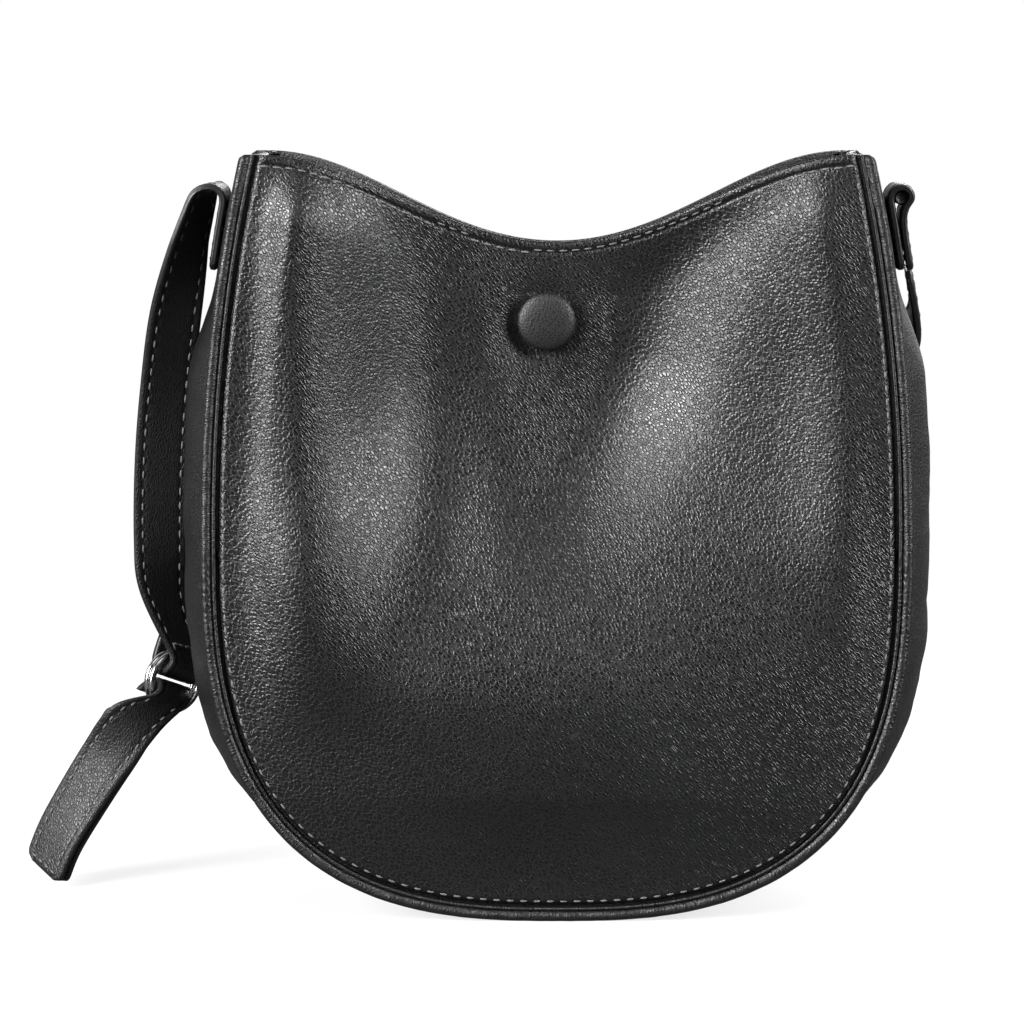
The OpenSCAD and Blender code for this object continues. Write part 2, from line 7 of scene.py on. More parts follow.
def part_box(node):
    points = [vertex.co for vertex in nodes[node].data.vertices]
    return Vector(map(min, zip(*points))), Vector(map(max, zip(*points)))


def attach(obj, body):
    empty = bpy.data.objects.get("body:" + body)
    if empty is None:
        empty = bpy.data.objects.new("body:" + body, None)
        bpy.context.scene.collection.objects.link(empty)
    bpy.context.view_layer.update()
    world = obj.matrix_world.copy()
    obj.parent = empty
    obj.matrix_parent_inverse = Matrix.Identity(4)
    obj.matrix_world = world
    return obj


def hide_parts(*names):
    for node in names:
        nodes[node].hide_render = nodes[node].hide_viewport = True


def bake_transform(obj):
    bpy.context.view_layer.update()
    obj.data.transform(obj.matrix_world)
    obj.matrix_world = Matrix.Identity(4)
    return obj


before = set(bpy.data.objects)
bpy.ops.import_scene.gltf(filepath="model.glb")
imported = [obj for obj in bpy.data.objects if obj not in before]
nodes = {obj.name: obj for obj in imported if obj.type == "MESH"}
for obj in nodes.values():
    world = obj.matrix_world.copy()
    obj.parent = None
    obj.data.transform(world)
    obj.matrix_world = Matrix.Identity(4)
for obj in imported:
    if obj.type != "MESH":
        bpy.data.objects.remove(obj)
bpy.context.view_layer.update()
mm = 0.001      # the dictionaries hold millimetres and degrees, and the stage's hold metres


def boxOf(node):
    low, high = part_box(node)
    return np.array(low) / mm, np.array(high) / mm


# What the whole bag follows: its outline, its depth and the way the closed snap pulls it in
bag = {
    "halfWidth": boxOf("front_piping")[1][0],
    "cornerZ": boxOf("front_piping")[1][2],
    "widestZ": 108,
    "sideTaper": 12,
    "topDip": 26,
    "baseHalfDepth": 35,
    "cornerHalfDepth": 22,
    "bowlPower": 2.7,
    "taperPower": 2.15,
    "depthPower": 1.3,
    "belly": 6.5,
    "bellyPeakZ": 62,
    "bellyLowShare": 0.35,
    "pullLowZ": 62,
    "pullHighZ": 165,
    "pullPower": 1.5,
    "pullFlatShare": 0.09,
    "meetHalf": 5.55,
    "panelInset": 4.4,
}


def smooth(t):
    t = np.clip(t, 0, 1)
    return t * t * (3 - 2 * t)


def bump(x, centre, halfWidth):
    # 1 at the centre, 0 beyond the half width, round in between
    return np.cos(np.clip((x - centre) / halfWidth, -1, 1) * math.pi / 2) ** 2


def halfDepth(z):
    k = np.clip(z, 0, None) / bag["cornerZ"]
    return bag["baseHalfDepth"] - (bag["baseHalfDepth"] - bag["cornerHalfDepth"]) * k ** bag["depthPower"]


def taperAt(z):
    k = np.clip((z - bag["widestZ"]) / (bag["cornerZ"] - bag["widestZ"]), 0, None)
    return bag["sideTaper"] * k ** bag["taperPower"]


def panelHalfWidth(z):
    return bag["halfWidth"] - bag["panelInset"] - taperAt(z)


def columnAngle(c):
    return np.abs(c) ** (bag["bowlPower"] / 2) * math.pi / 2


def columnShare(c):
    return np.sign(c) * np.sin(columnAngle(c)) ** (2 / bag["bowlPower"])


def bowlZ(c, inset):
    fall = np.clip(np.cos(columnAngle(c)), 0, None) ** (2 / bag["bowlPower"])
    return bag["widestZ"] - (bag["widestZ"] - inset) * fall


def topZ(share):
    return bag["cornerZ"] - bag["topDip"] * np.cos(math.pi / 2 * np.clip(np.abs(share), 0, 1)) ** 2


def faceDepth(share, z):
    # half depth of a panel's outer face
    share = np.clip(np.abs(share), 0, 1)
    low = smooth(z / bag["bellyPeakZ"])
    high = 1 - smooth((z - bag["bellyPeakZ"]) / (bag["cornerZ"] - bag["bellyPeakZ"]))
    lowShare = bag["bellyLowShare"]
    swell = bag["belly"] * (1 - share ** 2) * (lowShare + (1 - lowShare) * low)
    swell = swell * np.minimum(1, low + lowShare) * high
    near = np.clip(share - bag["pullFlatShare"], 0, None) / (1 - bag["pullFlatShare"])
    pull = np.clip(np.cos(math.pi / 2 * near), 0, None) ** bag["pullPower"]
    pull = pull * smooth((z - bag["pullLowZ"]) / (bag["pullHighZ"] - bag["pullLowZ"]))
    return (halfDepth(z) + swell) * (1 - pull) + bag["meetHalf"] * pull


def seamPoint(t, inset):
    # t runs from -2 at the left corner to 2 at the right one, and the bowl is between -1 and 1
    c = np.clip(t, -1, 1)
    side = np.abs(t) > 1
    z = np.where(side, bag["widestZ"] + (bag["cornerZ"] - bag["widestZ"]) * (np.abs(t) - 1), bowlZ(c, inset))
    reach = bag["halfWidth"] - inset
    x = np.where(side, np.sign(t) * (reach - taperAt(z)), columnShare(c) * reach)
    return x, z


# Mesh helpers
def pickOnly(piece):
    bpy.ops.object.select_all(action="DESELECT")
    piece.select_set(True)
    bpy.context.view_layer.objects.active = piece


def readRows(items, field):
    # three numbers for each vertex or face
    flat = np.empty(len(items) * 3)
    items.foreach_get(field, flat)
    return flat.reshape(-1, 3)


def sculpt(piece, name, points):
    # names the piece and moves its vertices to points in millimetres
    piece.name = piece.data.name = name
    piece.data.vertices.foreach_set("co", (points * mm).ravel())
    piece.data.update()


def gridPiece(name, columns, rows, place):
    # a flat grid, sculpted: place takes arrays of u and v from 0 to 1 and gives millimetres
    bpy.ops.object.select_all(action="DESELECT")
    bpy.ops.mesh.primitive_grid_add(x_subdivisions=columns, y_subdivisions=rows, size=1)
    piece = bpy.context.object
    flat = readRows(piece.data.vertices, "co") + 0.5
    sculpt(piece, name, place(flat[:, 0], flat[:, 1]))
    return piece


def mergeDoubles(piece, gap=0.005):
    pickOnly(piece)
    bpy.ops.object.mode_set(mode="EDIT")
    bpy.ops.mesh.select_all(action="SELECT")
    bpy.ops.mesh.remove_doubles(threshold=gap * mm)
    bpy.ops.object.mode_set(mode="OBJECT")


def capEnds(piece):
    # closes each open end of a swept piece with one face
    pickOnly(piece)
    bpy.ops.object.mode_set(mode="EDIT")
    bpy.ops.mesh.select_all(action="DESELECT")
    bpy.ops.mesh.select_mode(type="EDGE")
    bpy.ops.mesh.select_non_manifold(extend=False, use_wire=False, use_multi_face=False,
                                     use_non_contiguous=False, use_verts=False)
    bpy.ops.mesh.fill_holes(sides=0)
    bpy.ops.mesh.select_all(action="SELECT")
    bpy.ops.mesh.normals_make_consistent(inside=False)
    bpy.ops.mesh.select_mode(type="VERT")
    bpy.ops.object.mode_set(mode="OBJECT")


def faceOutwards(piece, outward):
    # outward is a direction, or a point in millimetres that the sheet faces away from
    mesh = piece.data
    centres = readRows(mesh.polygons, "center")
    away = centres - np.array(outward["from"]) * mm if "from" in outward else outward["along"]
    if (readRows(mesh.polygons, "normal") * away).sum() < 0:
        mesh.flip_normals()


def addModifier(piece, kind, **values):
    modifier = piece.modifiers.new(kind.lower(), kind)
    for key, value in values.items():
        setattr(modifier, key, value)
    pickOnly(piece)
    bpy.ops.object.modifier_apply(modifier=modifier.name)


def smoothShade(piece, angle):
    pickOnly(piece)
    bpy.ops.object.shade_smooth_by_angle(angle=math.radians(angle))


sheetAngle = 50     # where a sheet turns more than this it is an edge, and is bevelled


def finishSheet(piece, outward, thickness, rim=0.35):
    # gives a sheet its thickness inwards and rounds its edges by the rim
    faceOutwards(piece, outward)
    addModifier(piece, "SOLIDIFY", thickness=thickness * mm, offset=-1)
    if rim:
        addModifier(piece, "BEVEL", width=rim * mm, segments=2, limit_method="ANGLE",
                    angle_limit=math.radians(sheetAngle))
    smoothShade(piece, sheetAngle)


def closeSwept(piece, angle):
    # joins a swept piece along its length and closes its ends
    mergeDoubles(piece)
    capEnds(piece)
    smoothShade(piece, angle)


def surfaceNoise(points, size, seed, octaves=3):
    # gentle unevenness, the same each run
    shift = Vector((seed * 7.3, seed * 3.1, seed * 5.7))
    return np.array([noise.fractal(Vector(p) / size + shift, 1.0, 2.0, octaves) for p in points])


def evenly(points, pitch, margin):
    # places every pitch along a line of points, with the direction there
    points = np.array(points, dtype=float)
    steps = np.linalg.norm(np.diff(points, axis=0), axis=1)
    run = np.concatenate([[0], np.cumsum(steps)])
    count = max(2, int(round((run[-1] - 2 * margin) / pitch)) + 1)
    wanted = np.linspace(margin, run[-1] - margin, count)
    reach = 0.4     # the direction is read this far each way

    def at(distance):
        return np.stack([np.interp(distance, run, points[:, k]) for k in range(3)], axis=1)

    return at(wanted), at(np.minimum(wanted + reach, run[-1])) - at(np.maximum(wanted - reach, 0))


print("materials")


# Materials
vectorMath = "ShaderNodeVectorMath"


def newMaterial(name):
    material = bpy.data.materials.new(name)
    material.use_nodes = True
    return material, material.node_tree, material.node_tree.nodes["Principled BSDF"]


def nodeIn(tree, kind, **values):
    # values are settings and inputs; one that is another node's output is linked
    made = tree.nodes.new(kind)
    for key, value in values.items():
        if hasattr(made, key):
            setattr(made, key, value)
        elif isinstance(value, bpy.types.NodeSocket):
            tree.links.new(value, made.inputs[key])
        else:
            made.inputs[key].default_value = value
    return made


def mathIn(tree, operation, *values, kind="ShaderNodeMath", **settings):
    made = nodeIn(tree, kind, operation=operation, **settings)
    for index, value in enumerate(values):
        if isinstance(value, bpy.types.NodeSocket):
            tree.links.new(value, made.inputs[index])
        else:
            made.inputs[index].default_value = value
    return made.outputs[0]


def newGroup(name, inputs, outputs):
    group = bpy.data.node_groups.new(name, "ShaderNodeTree")
    for label, kind, value in inputs:
        socket = group.interface.new_socket(name=label, in_out="INPUT", socket_type=kind)
        if value is not None:
            socket.default_value = value
    for label, kind in outputs:
        group.interface.new_socket(name=label, in_out="OUTPUT", socket_type=kind)
    return group, group.nodes.new("NodeGroupInput").outputs, group.nodes.new("NodeGroupOutput").inputs


grainLook = {
    "warpScale": 0.45,      # the warp's and the fine grain's scale, as shares of the cells'
    "fineScale": 2.6,
    "creaseWidth": 0.28,
    "creaseHeight": 0.75,
    "fineHeight": 0.35,
    "patchScale": 28.0,
}


def pebbleGrainGroup():
    # pressed grain: worm-like ridges between fine creases, over a slower unevenness
    look = grainLook
    group, given, out = newGroup(
        "Pebble grain",
        [("Vector", "NodeSocketVector", None), ("Cell", "NodeSocketFloat", 900.0),
         ("Warp", "NodeSocketFloat", 0.5)],
        [("Height", "NodeSocketFloat"), ("Crease", "NodeSocketFloat"), ("Patch", "NodeSocketFloat")])
    link = group.links.new
    warp = nodeIn(group, "ShaderNodeTexNoise", Detail=2.0, Vector=given["Vector"],
                  Scale=mathIn(group, "MULTIPLY", given["Cell"], look["warpScale"]))
    centred = mathIn(group, "SUBTRACT", warp.outputs["Color"], (0.5, 0.5, 0.5), kind=vectorMath)
    push = mathIn(group, "SCALE", centred, kind=vectorMath,
                  Scale=mathIn(group, "DIVIDE", given["Warp"], given["Cell"]))
    moved = mathIn(group, "ADD", given["Vector"], push, kind=vectorMath)
    cells = nodeIn(group, "ShaderNodeTexVoronoi", feature="DISTANCE_TO_EDGE", Vector=moved,
                   Scale=given["Cell"])
    crease = nodeIn(group, "ShaderNodeMapRange", interpolation_type="SMOOTHSTEP",
                    Value=cells.outputs["Distance"],
                    **{"From Min": 0.0, "From Max": look["creaseWidth"]}).outputs["Result"]
    fine = nodeIn(group, "ShaderNodeTexNoise", Detail=3.0, Vector=moved,
                  Scale=mathIn(group, "MULTIPLY", given["Cell"], look["fineScale"]))
    patch = nodeIn(group, "ShaderNodeTexNoise", Scale=look["patchScale"], Detail=3.0, Vector=given["Vector"])
    pebbles = mathIn(group, "MULTIPLY", crease, look["creaseHeight"])
    grit = mathIn(group, "MULTIPLY", fine.outputs["Fac"], look["fineHeight"])
    link(mathIn(group, "ADD", pebbles, grit), out["Height"])
    link(mathIn(group, "SUBTRACT", 1.0, crease), out["Crease"])
    link(patch.outputs["Fac"], out["Patch"])
    return group


def weaveGroup():
    # plain weave of the lining, from two waves that cross
    group, given, out = newGroup(
        "Plain weave", [("Vector", "NodeSocketVector", None), ("Scale", "NodeSocketFloat", 1500.0)],
        [("Height", "NodeSocketFloat")])
    heights = [nodeIn(group, "ShaderNodeTexWave", bands_direction=direction, Distortion=0.6, Detail=1.0,
                      Vector=given["Vector"], Scale=given["Scale"]).outputs["Fac"]
               for direction in ("X", "Z")]
    group.links.new(mathIn(group, "MAXIMUM", *heights), out["Height"])
    return group


grainGroup = pebbleGrainGroup()
clothGroup = weaveGroup()

leatherLooks = {
    "panelLeather": {"colour": (0.0020, 0.0021, 0.0024), "rough": 0.28, "cell": 1250, "turn": (0, 42, 0),
                     "stretch": (2.1, 1, 1), "height": 0.11, "spread": 0.06},
    "gussetLeather": {"colour": (0.0020, 0.0021, 0.0024), "rough": 0.34, "cell": 1250, "turn": (40, 0, 0),
                      "stretch": (1, 2.0, 1), "height": 0.12, "spread": 0.08},
    "pipingLeather": {"colour": (0.0026, 0.0027, 0.0030), "rough": 0.33, "cell": 1.0, "turn": (0, 0, 0),
                      "stretch": (0.16, 0.0014, 1), "height": 0.10, "spread": 0.06, "coordinates": "UV"},
    "strapLeather": {"colour": (0.0020, 0.0021, 0.0024), "rough": 0.40, "cell": 1350, "turn": (0, 0, 30),
                     "stretch": (1, 1, 1.8), "height": 0.10, "spread": 0.08},
    # the button's leather is the panels' black leather, coloured lighter as painted light for the light its
    # dome catches
    "buttonLeather": {"colour": (0.0032, 0.0033, 0.0036), "rough": 0.42, "cell": 1400, "turn": (0, 42, 0),
                      "stretch": (1.6, 1, 1), "height": 0.06, "spread": 0.08},
}


def colourBetween(tree, shader, share, low, high):
    # the sockets of a colour mix are found by place: factor 0, A 6, B 7
    tint = nodeIn(tree, "ShaderNodeMix", data_type="RGBA")
    tint.inputs[6].default_value = (*low, 1)
    tint.inputs[7].default_value = (*high, 1)
    tree.links.new(share, tint.inputs[0])
    tree.links.new(tint.outputs[2], shader.inputs["Base Color"])


def addRelief(tree, shader, height, depth):
    relief = nodeIn(tree, "ShaderNodeBump", Strength=1.0, Distance=depth * mm, Height=height)
    tree.links.new(relief.outputs["Normal"], shader.inputs["Normal"])


def leather(name, look):
    # the colour varies a little between patches, and the creases are rougher
    material, tree, shader = newMaterial(name)
    place = nodeIn(tree, "ShaderNodeTexCoord").outputs[look.get("coordinates", "Object")]
    turn = nodeIn(tree, "ShaderNodeMapping", vector_type="TEXTURE", Vector=place, Scale=look["stretch"],
                  Rotation=[math.radians(a) for a in look["turn"]])
    grain = nodeIn(tree, "ShaderNodeGroup", node_tree=grainGroup, Cell=look["cell"],
                   Vector=turn.outputs["Vector"]).outputs
    dark, light = ([share * c for c in look["colour"]] for share in (0.9, 1.25))
    colourBetween(tree, shader, grain["Patch"], dark, light)
    rough = mathIn(tree, "MULTIPLY_ADD", grain["Patch"], look["spread"] * 2, look["rough"] - look["spread"])
    creased = mathIn(tree, "MULTIPLY", grain["Crease"], 0.18)
    tree.links.new(mathIn(tree, "ADD", rough, creased, use_clamp=True), shader.inputs["Roughness"])
    addRelief(tree, shader, grain["Height"], look["height"])
    return material


def plainMaterial(name, look):
    # one colour broken up by noise, for paint, thread, board and metal
    material, tree, shader = newMaterial(name)
    place = nodeIn(tree, "ShaderNodeTexCoord").outputs["Object"]
    speckle = nodeIn(tree, "ShaderNodeTexNoise", Scale=look["size"], Detail=4.0, Vector=place).outputs["Fac"]
    colourBetween(tree, shader, speckle, look["low"], look["high"])
    shader.inputs["Metallic"].default_value = look.get("metal", 0.0)
    rough = mathIn(tree, "MULTIPLY_ADD", speckle, look["spread"], look["rough"])
    tree.links.new(rough, shader.inputs["Roughness"])
    addRelief(tree, shader, speckle, look["height"])
    return material


plainLooks = {
    "edgePaint": {"low": (0.008, 0.008, 0.009), "high": (0.016, 0.016, 0.017), "rough": 0.28, "spread": 0.2,
                  "size": 900, "height": 0.04},
    # the thread's own colour is black; the lighter grey here is painted sheen, standing in for the light its
    # waxed twist catches
    "thread": {"low": (0.05, 0.05, 0.052), "high": (0.15, 0.15, 0.155), "rough": 0.45, "spread": 0.2,
               "size": 2600, "height": 0.08},
    "pipingCore": {"low": (0.55, 0.54, 0.50), "high": (0.78, 0.76, 0.70), "rough": 0.8, "spread": 0.15,
                   "size": 2200, "height": 0.10},
    "greyBoard": {"low": (0.12, 0.11, 0.10), "high": (0.24, 0.23, 0.21), "rough": 0.85, "spread": 0.1,
                  "size": 700, "height": 0.10},
    "polishedSteel": {"low": (0.42, 0.42, 0.42), "high": (0.56, 0.56, 0.56), "rough": 0.14, "spread": 0.12,
                      "size": 500, "height": 0.004, "metal": 1.0},
    "snapSteel": {"low": (0.30, 0.30, 0.31), "high": (0.45, 0.45, 0.45), "rough": 0.22, "spread": 0.2,
                  "size": 900, "height": 0.006, "metal": 1.0},
}


clothLook = {"low": (0.014, 0.014, 0.016), "high": (0.040, 0.040, 0.044), "rough": 0.75, "weave": 420.0,
             "height": 0.08}


def liningCloth(name, look):
    material, tree, shader = newMaterial(name)
    place = nodeIn(tree, "ShaderNodeTexCoord").outputs["Object"]
    weave = nodeIn(tree, "ShaderNodeGroup", node_tree=clothGroup, Scale=look["weave"], Vector=place)
    # the colour follows the weave's height, lighter on the threads' crowns and darker in the dips between
    # them: painted shade
    colourBetween(tree, shader, weave.outputs["Height"], look["low"], look["high"])
    shader.inputs["Roughness"].default_value = look["rough"]
    addRelief(tree, shader, weave.outputs["Height"], look["height"])
    return material


materials = {name: leather(name, look) for name, look in leatherLooks.items()}
materials.update({name: plainMaterial(name, look) for name, look in plainLooks.items()})
materials["liningCloth"] = liningCloth("liningCloth", clothLook)


def dress(piece, material, slot, body, *replaced):
    piece.data.materials.clear()
    piece.data.materials.append(materials[material])
    if body:
        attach(piece, body)
    if replaced:
        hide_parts(*replaced)


# Stitches: one is modelled, and each row is made of its copies
stitchLook = {"length": 2.5, "width": 0.75, "height": 0.5, "sunk": 0.05, "dive": 0.22}


def modelStitch():
    # one thread end to end: its tips dive into the holes
    bpy.ops.object.select_all(action="DESELECT")
    bpy.ops.mesh.primitive_uv_sphere_add(segments=6, ring_count=5, radius=0.5)
    stitch = bpy.context.object
    stitch.name = "stitchPattern"
    dive = stitchLook["dive"] / stitchLook["height"]
    for vertex in stitch.data.vertices:
        x, y, along = vertex.co
        vertex.co = (along, y, x - dive * (2 * along) ** 4)
    return stitch


def addStitches(name, spots, alongs, normals, body, length=stitchLook["length"], blend=None, lift=0.0):
    # a row of copies, each lying along the seam on the leather
    pattern = modelStitch()
    base = readRows(pattern.data.vertices, "co") * (length, stitchLook["width"], stitchLook["height"])
    copies = []
    for spot, along, normal in zip(spots, alongs, normals):
        along = Vector(along).normalized()
        normal = Vector(normal)
        normal = (normal - along * normal.dot(along)).normalized()
        side = normal.cross(along)
        turn = np.array([along, side, normal])
        place = np.array(spot) + np.array(normal) * (stitchLook["height"] / 2 - stitchLook["sunk"] + lift)
        copy = pattern.copy()
        copy.data = pattern.data.copy()
        copy.data.vertices.foreach_set("co", ((base @ turn + place) * mm).ravel())
        bpy.context.collection.objects.link(copy)
        copies.append(copy)
    bpy.data.objects.remove(pattern)
    bpy.ops.object.select_all(action="DESELECT")
    for copy in copies:
        copy.select_set(True)
    row = copies[0]
    bpy.context.view_layer.objects.active = row
    bpy.ops.object.join()
    row.name = row.data.name = name
    row.data.update()
    bpy.ops.object.shade_smooth()
    dress(row, "thread", "thread", None if blend else body)
    if blend:
        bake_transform(row)


def nearestNormals(piece, spots):
    # the point of the surface nearest to each spot, and its normal there
    found = [piece.closest_point_on_mesh(Vector(s) * mm) for s in spots]
    return np.array([f[1][:] for f in found]) / mm, np.array([f[2][:] for f in found])


print("panels")

panelLook = {
    "columns": 180,
    "edgeRows": 10,         # rows close together beside the seam
    "midRows": 116,
    "topRows": 12,          # rows close together under the top edge
    "lastButOne": 0.966,
    "edgeZone": 5.0,
    "topZone": 5.0,
    "thickness": 1.8,
    "grooveWidth": 0.9,     # of the groove's floor, beside the piping's ridge
    "shoulderReach": 1.9,   # the panel turns down into the groove over this width
    "shoulderDrop": 2.1,
    "hemReach": 2.6,        # the turned edge along the top is this wide
    "hemRise": 0.25,
    "hemGroove": 0.28,
    "stitchDrop": 3.0,      # stitches below the top edge
    "stitchPitch": 3.7,
    "seamStitchInset": 1.9,
    "seamStitchPitch": 3.9,
    "unevenness": 0.22,
}
# Soft folds of the panels: the x and z of both ends, the half width and the height outwards.
# The side right of a fold's middle can have its own half width, which is called inner.
frontFolds = [
    {"from": (68, 199), "to": (26, 112), "width": 19, "rise": 1.7},     # ridge from the top right inwards
    {"from": (38, 203), "to": (6, 122), "width": 16, "rise": -3.0},     # valley between it and the button
    {"from": (-72, 216), "to": (-71, 90), "width": 15, "inner": 20, "rise": 7.6},    # crown, left side
    {"from": (-44, 200), "to": (-34, 110), "width": 15, "rise": -1.5},
    {"from": (-20, 176), "to": (-16, 106), "width": 13, "rise": 1.8},
    {"from": (80, 212), "to": (84, 90), "width": 12, "rise": 1.8},      # lower crown, right side
]
backFolds = [
    {"from": (-40, 196), "to": (-10, 120), "width": 18, "rise": 1.4},
    {"from": (44, 198), "to": (14, 130), "width": 16, "rise": 1.2},
    {"from": (0, 190), "to": (0, 90), "width": 22, "rise": -0.8},
]
buttonPlace = {"x": -3.0, "z": 173.0, "radius": 8.5}


def distanceToSeam(x, z, inset):
    line = np.stack(seamPoint(np.linspace(-2, 2, 1201), inset), axis=1)
    points = np.stack([x, z], axis=1)
    near = np.empty(len(points))
    for start in range(0, len(points), 2000):
        part = points[start:start + 2000]
        near[start:start + 2000] = np.sqrt(((part[:, None] - line[None]) ** 2).sum(axis=2).min(axis=1))
    return near


def foldRise(folds, x, z):
    rise = np.zeros_like(x)
    for fold in folds:
        a, b = np.array(fold["from"], float), np.array(fold["to"], float)
        run = b - a
        along = ((x - a[0]) * run[0] + (z - a[1]) * run[1]) / (run @ run)
        across = ((x - a[0]) * run[1] - (z - a[1]) * run[0]) / math.hypot(*run)
        fade = smooth((along + 0.35) / 0.35) * smooth((1.35 - along) / 0.5)
        reach = np.where(across < 0, fold.get("inner", fold["width"]), fold["width"])
        rise = rise + fold["rise"] * fade * np.exp(-(across / reach) ** 2)
    return rise


def panelRise(side, x, z, near, under):
    # folds and unevenness, which fade towards the seam, the top edge and the button
    rise = foldRise(frontFolds if side < 0 else backFolds, x, z)
    rise = rise + panelLook["unevenness"] * 4 * surfaceNoise(
        np.stack([x, z, np.full_like(x, side * 9.0)], axis=1), 55, 3 + side, 2)
    calm = smooth(near / 16) * smooth((under + 4) / 22)
    away = np.hypot(x - buttonPlace["x"], z - buttonPlace["z"])
    return rise * calm * smooth((away - 6) / 16)


def panelPlace(side):
    look = panelLook
    rows = look["edgeRows"] + look["midRows"] + look["topRows"]

    def place(u, v):
        # the last column stands clear of the one before it, which would all but touch it
        c = np.where(np.abs(2 * u - 1) > 0.9999, np.sign(2 * u - 1), (2 * u - 1) * look["lastButOne"])
        share = columnShare(c)
        low = bowlZ(c, bag["panelInset"])
        high = topZ(share)
        row = v * rows
        inLow = np.clip(row / look["edgeRows"], 0, 1) * look["edgeZone"]
        inTop = np.clip((row - rows + look["topRows"]) / look["topRows"], 0, 1) * look["topZone"]
        inMid = np.clip((row - look["edgeRows"]) / look["midRows"], 0, 1)
        z = low + inLow + inTop + inMid * (high - low - look["edgeZone"] - look["topZone"])
        x = share * panelHalfWidth(z)
        depth = faceDepth(share, z)
        near = distanceToSeam(x, z, bag["panelInset"])
        under = high - z
        # the seam draws the edge in
        k = np.clip(1 - (near - look["grooveWidth"]) / look["shoulderReach"], 0, 1)
        depth = depth - look["shoulderDrop"] * (1 - np.sqrt(np.clip(1 - k * k, 0, 1)))
        # turned edge and stitch groove along the top
        hem = smooth((look["hemReach"] - under) / 0.8) * look["hemRise"]
        groove = bump(under, look["stitchDrop"], 0.9) * look["hemGroove"]
        roll = np.clip(1 - under / 0.9, 0, 1) ** 2 * 0.5
        inner = smooth(near / 6)
        depth = depth + (hem - groove - roll) * inner
        depth = depth + panelRise(side, x, z, near, under)
        # the leather sinks round the button's base
        if side < 0:
            away = np.hypot(x - buttonPlace["x"], z - buttonPlace["z"])
            dent = np.exp(-((away - buttonPlace["radius"]) / 2.6) ** 2) * 0.9
            lowerLeft = np.clip(-(x - buttonPlace["x"]) - (z - buttonPlace["z"]), 0, None) / (away + 1)
            depth = depth - dent * (0.5 + 0.8 * lowerLeft)
        return np.stack([x, side * depth, z], axis=1)

    return place, rows


def makePanel(name, side, body, node):
    place, rows = panelPlace(side)
    piece = gridPiece(name, panelLook["columns"], rows, place)
    mergeDoubles(piece)
    finishSheet(piece, {"along": (0, side, 0)}, panelLook["thickness"])
    dress(piece, "panelLeather", "leather", body, node)
    return piece


frontPanel = makePanel("frontPanel", -1, "front", "front_panel")
backPanel = makePanel("backPanel", 1, "bag", "back_panel")


def topEdgeStitches(panel, side, body):
    # a row that follows the top edge, a little below it
    c = np.linspace(-0.985, 0.985, 400)
    share = columnShare(c)
    z = topZ(share) - panelLook["stitchDrop"]
    x = share * panelHalfWidth(z)
    keep = np.abs(x) < panelHalfWidth(z) - 2.4
    line = np.stack([x, side * (faceDepth(share, z) + 1), z], axis=1)[keep]
    spots, alongs = evenly(line, panelLook["stitchPitch"], 1.0)
    spots, normals = nearestNormals(panel, spots)
    addStitches(panel.name + "TopStitches", spots, alongs, normals, body)


def seamStitches(panel, side, body):
    # a row down in the groove between the panel and the piping's ridge
    t = np.linspace(-1.93, 1.93, 900)
    x, z = seamPoint(t, bag["panelInset"] + panelLook["seamStitchInset"])
    line = np.stack([x, side * (halfDepth(z) + 1), z], axis=1)
    spots, alongs = evenly(line, panelLook["seamStitchPitch"], 1.0)
    spots, normals = nearestNormals(panel, spots)
    addStitches(panel.name + "SeamStitches", spots, alongs, normals, body, length=2.2, lift=-0.12)


topEdgeStitches(frontPanel, -1, "front")
topEdgeStitches(backPanel, 1, "bag")
seamStitches(frontPanel, -1, "front")
seamStitches(backPanel, 1, "bag")

print("piping")

pipingLook = {
    "radius": 1.6,
    "centreDepth": 1.4,
    "cordRadius": 0.85,
    "cordShare": 0.985,
    "ridgeInset": 3.88,
    "ridgeDepth": -0.15,
    "ridgeHalf": 0.5,
    "ridgeFromZ": 207,
    "stations": 520,
    "wrinkle": 0.07,
}


def pipingSection():
    # inset from the outer line and depth behind the panel's face, with 1 where the ridge stands
    r, deep, ridge = pipingLook["radius"], pipingLook["centreDepth"], pipingLook["ridgeInset"]
    tube = [(r + r * math.cos(a), deep - r * math.sin(a), 0)
            for a in np.radians(np.linspace(38, 292, 18))]
    half, top = pipingLook["ridgeHalf"], pipingLook["ridgeDepth"]
    crest = [(ridge + half + 0.15, 1.75, 0), (ridge + half, top + 0.35, 1),
             (ridge + half * 0.6, top + 0.06, 1), (ridge, top, 1), (ridge - half * 0.6, top + 0.06, 1),
             (ridge - half, top + 0.4, 1), (ridge - half - 0.1, 0.85, 0)]
    flange = [(4.2, 2.6, 0), (6.4, 2.5, 0), (6.4, 2.05, 0)]
    return crest + tube + flange


def makePiping(name, side, body, node):
    section = np.array(pipingSection())
    look = pipingLook

    def place(u, v):
        index = np.round(u * len(section)).astype(int) % len(section)
        inset, depth, crest = section[index].T
        t = -2 + 4 * v
        z = seamPoint(t, 0)[1]
        # the ridge sinks near the corners
        flat = smooth((z - look["ridgeFromZ"]) / 2)
        depth = depth + crest * flat * 0.55
        # rounded ends
        end = np.clip(1 - (2 - np.abs(t)) * (bag["cornerZ"] - bag["widestZ"]) / look["radius"], 0, 1)
        shrink = np.sqrt(np.clip(1 - end * end, 0.02, 1))
        isTube = inset <= 2 * look["radius"] + 0.01
        inset = np.where(isTube, look["radius"] + (inset - look["radius"]) * shrink, inset)
        depth = np.where(isTube, look["centreDepth"] + (depth - look["centreDepth"]) * shrink, depth)
        x, z = seamPoint(t, inset)
        points = np.stack([x, side * (halfDepth(z) - depth), z], axis=1)
        ripple = surfaceNoise(points, 5, 11 + side, 2) * look["wrinkle"] * isTube * 4
        points[:, 1] = points[:, 1] + side * ripple
        return points

    piece = gridPiece(name, len(section), look["stations"], place)
    closeSwept(piece, 70)
    dress(piece, "pipingLeather", "piping_leather", body, node)


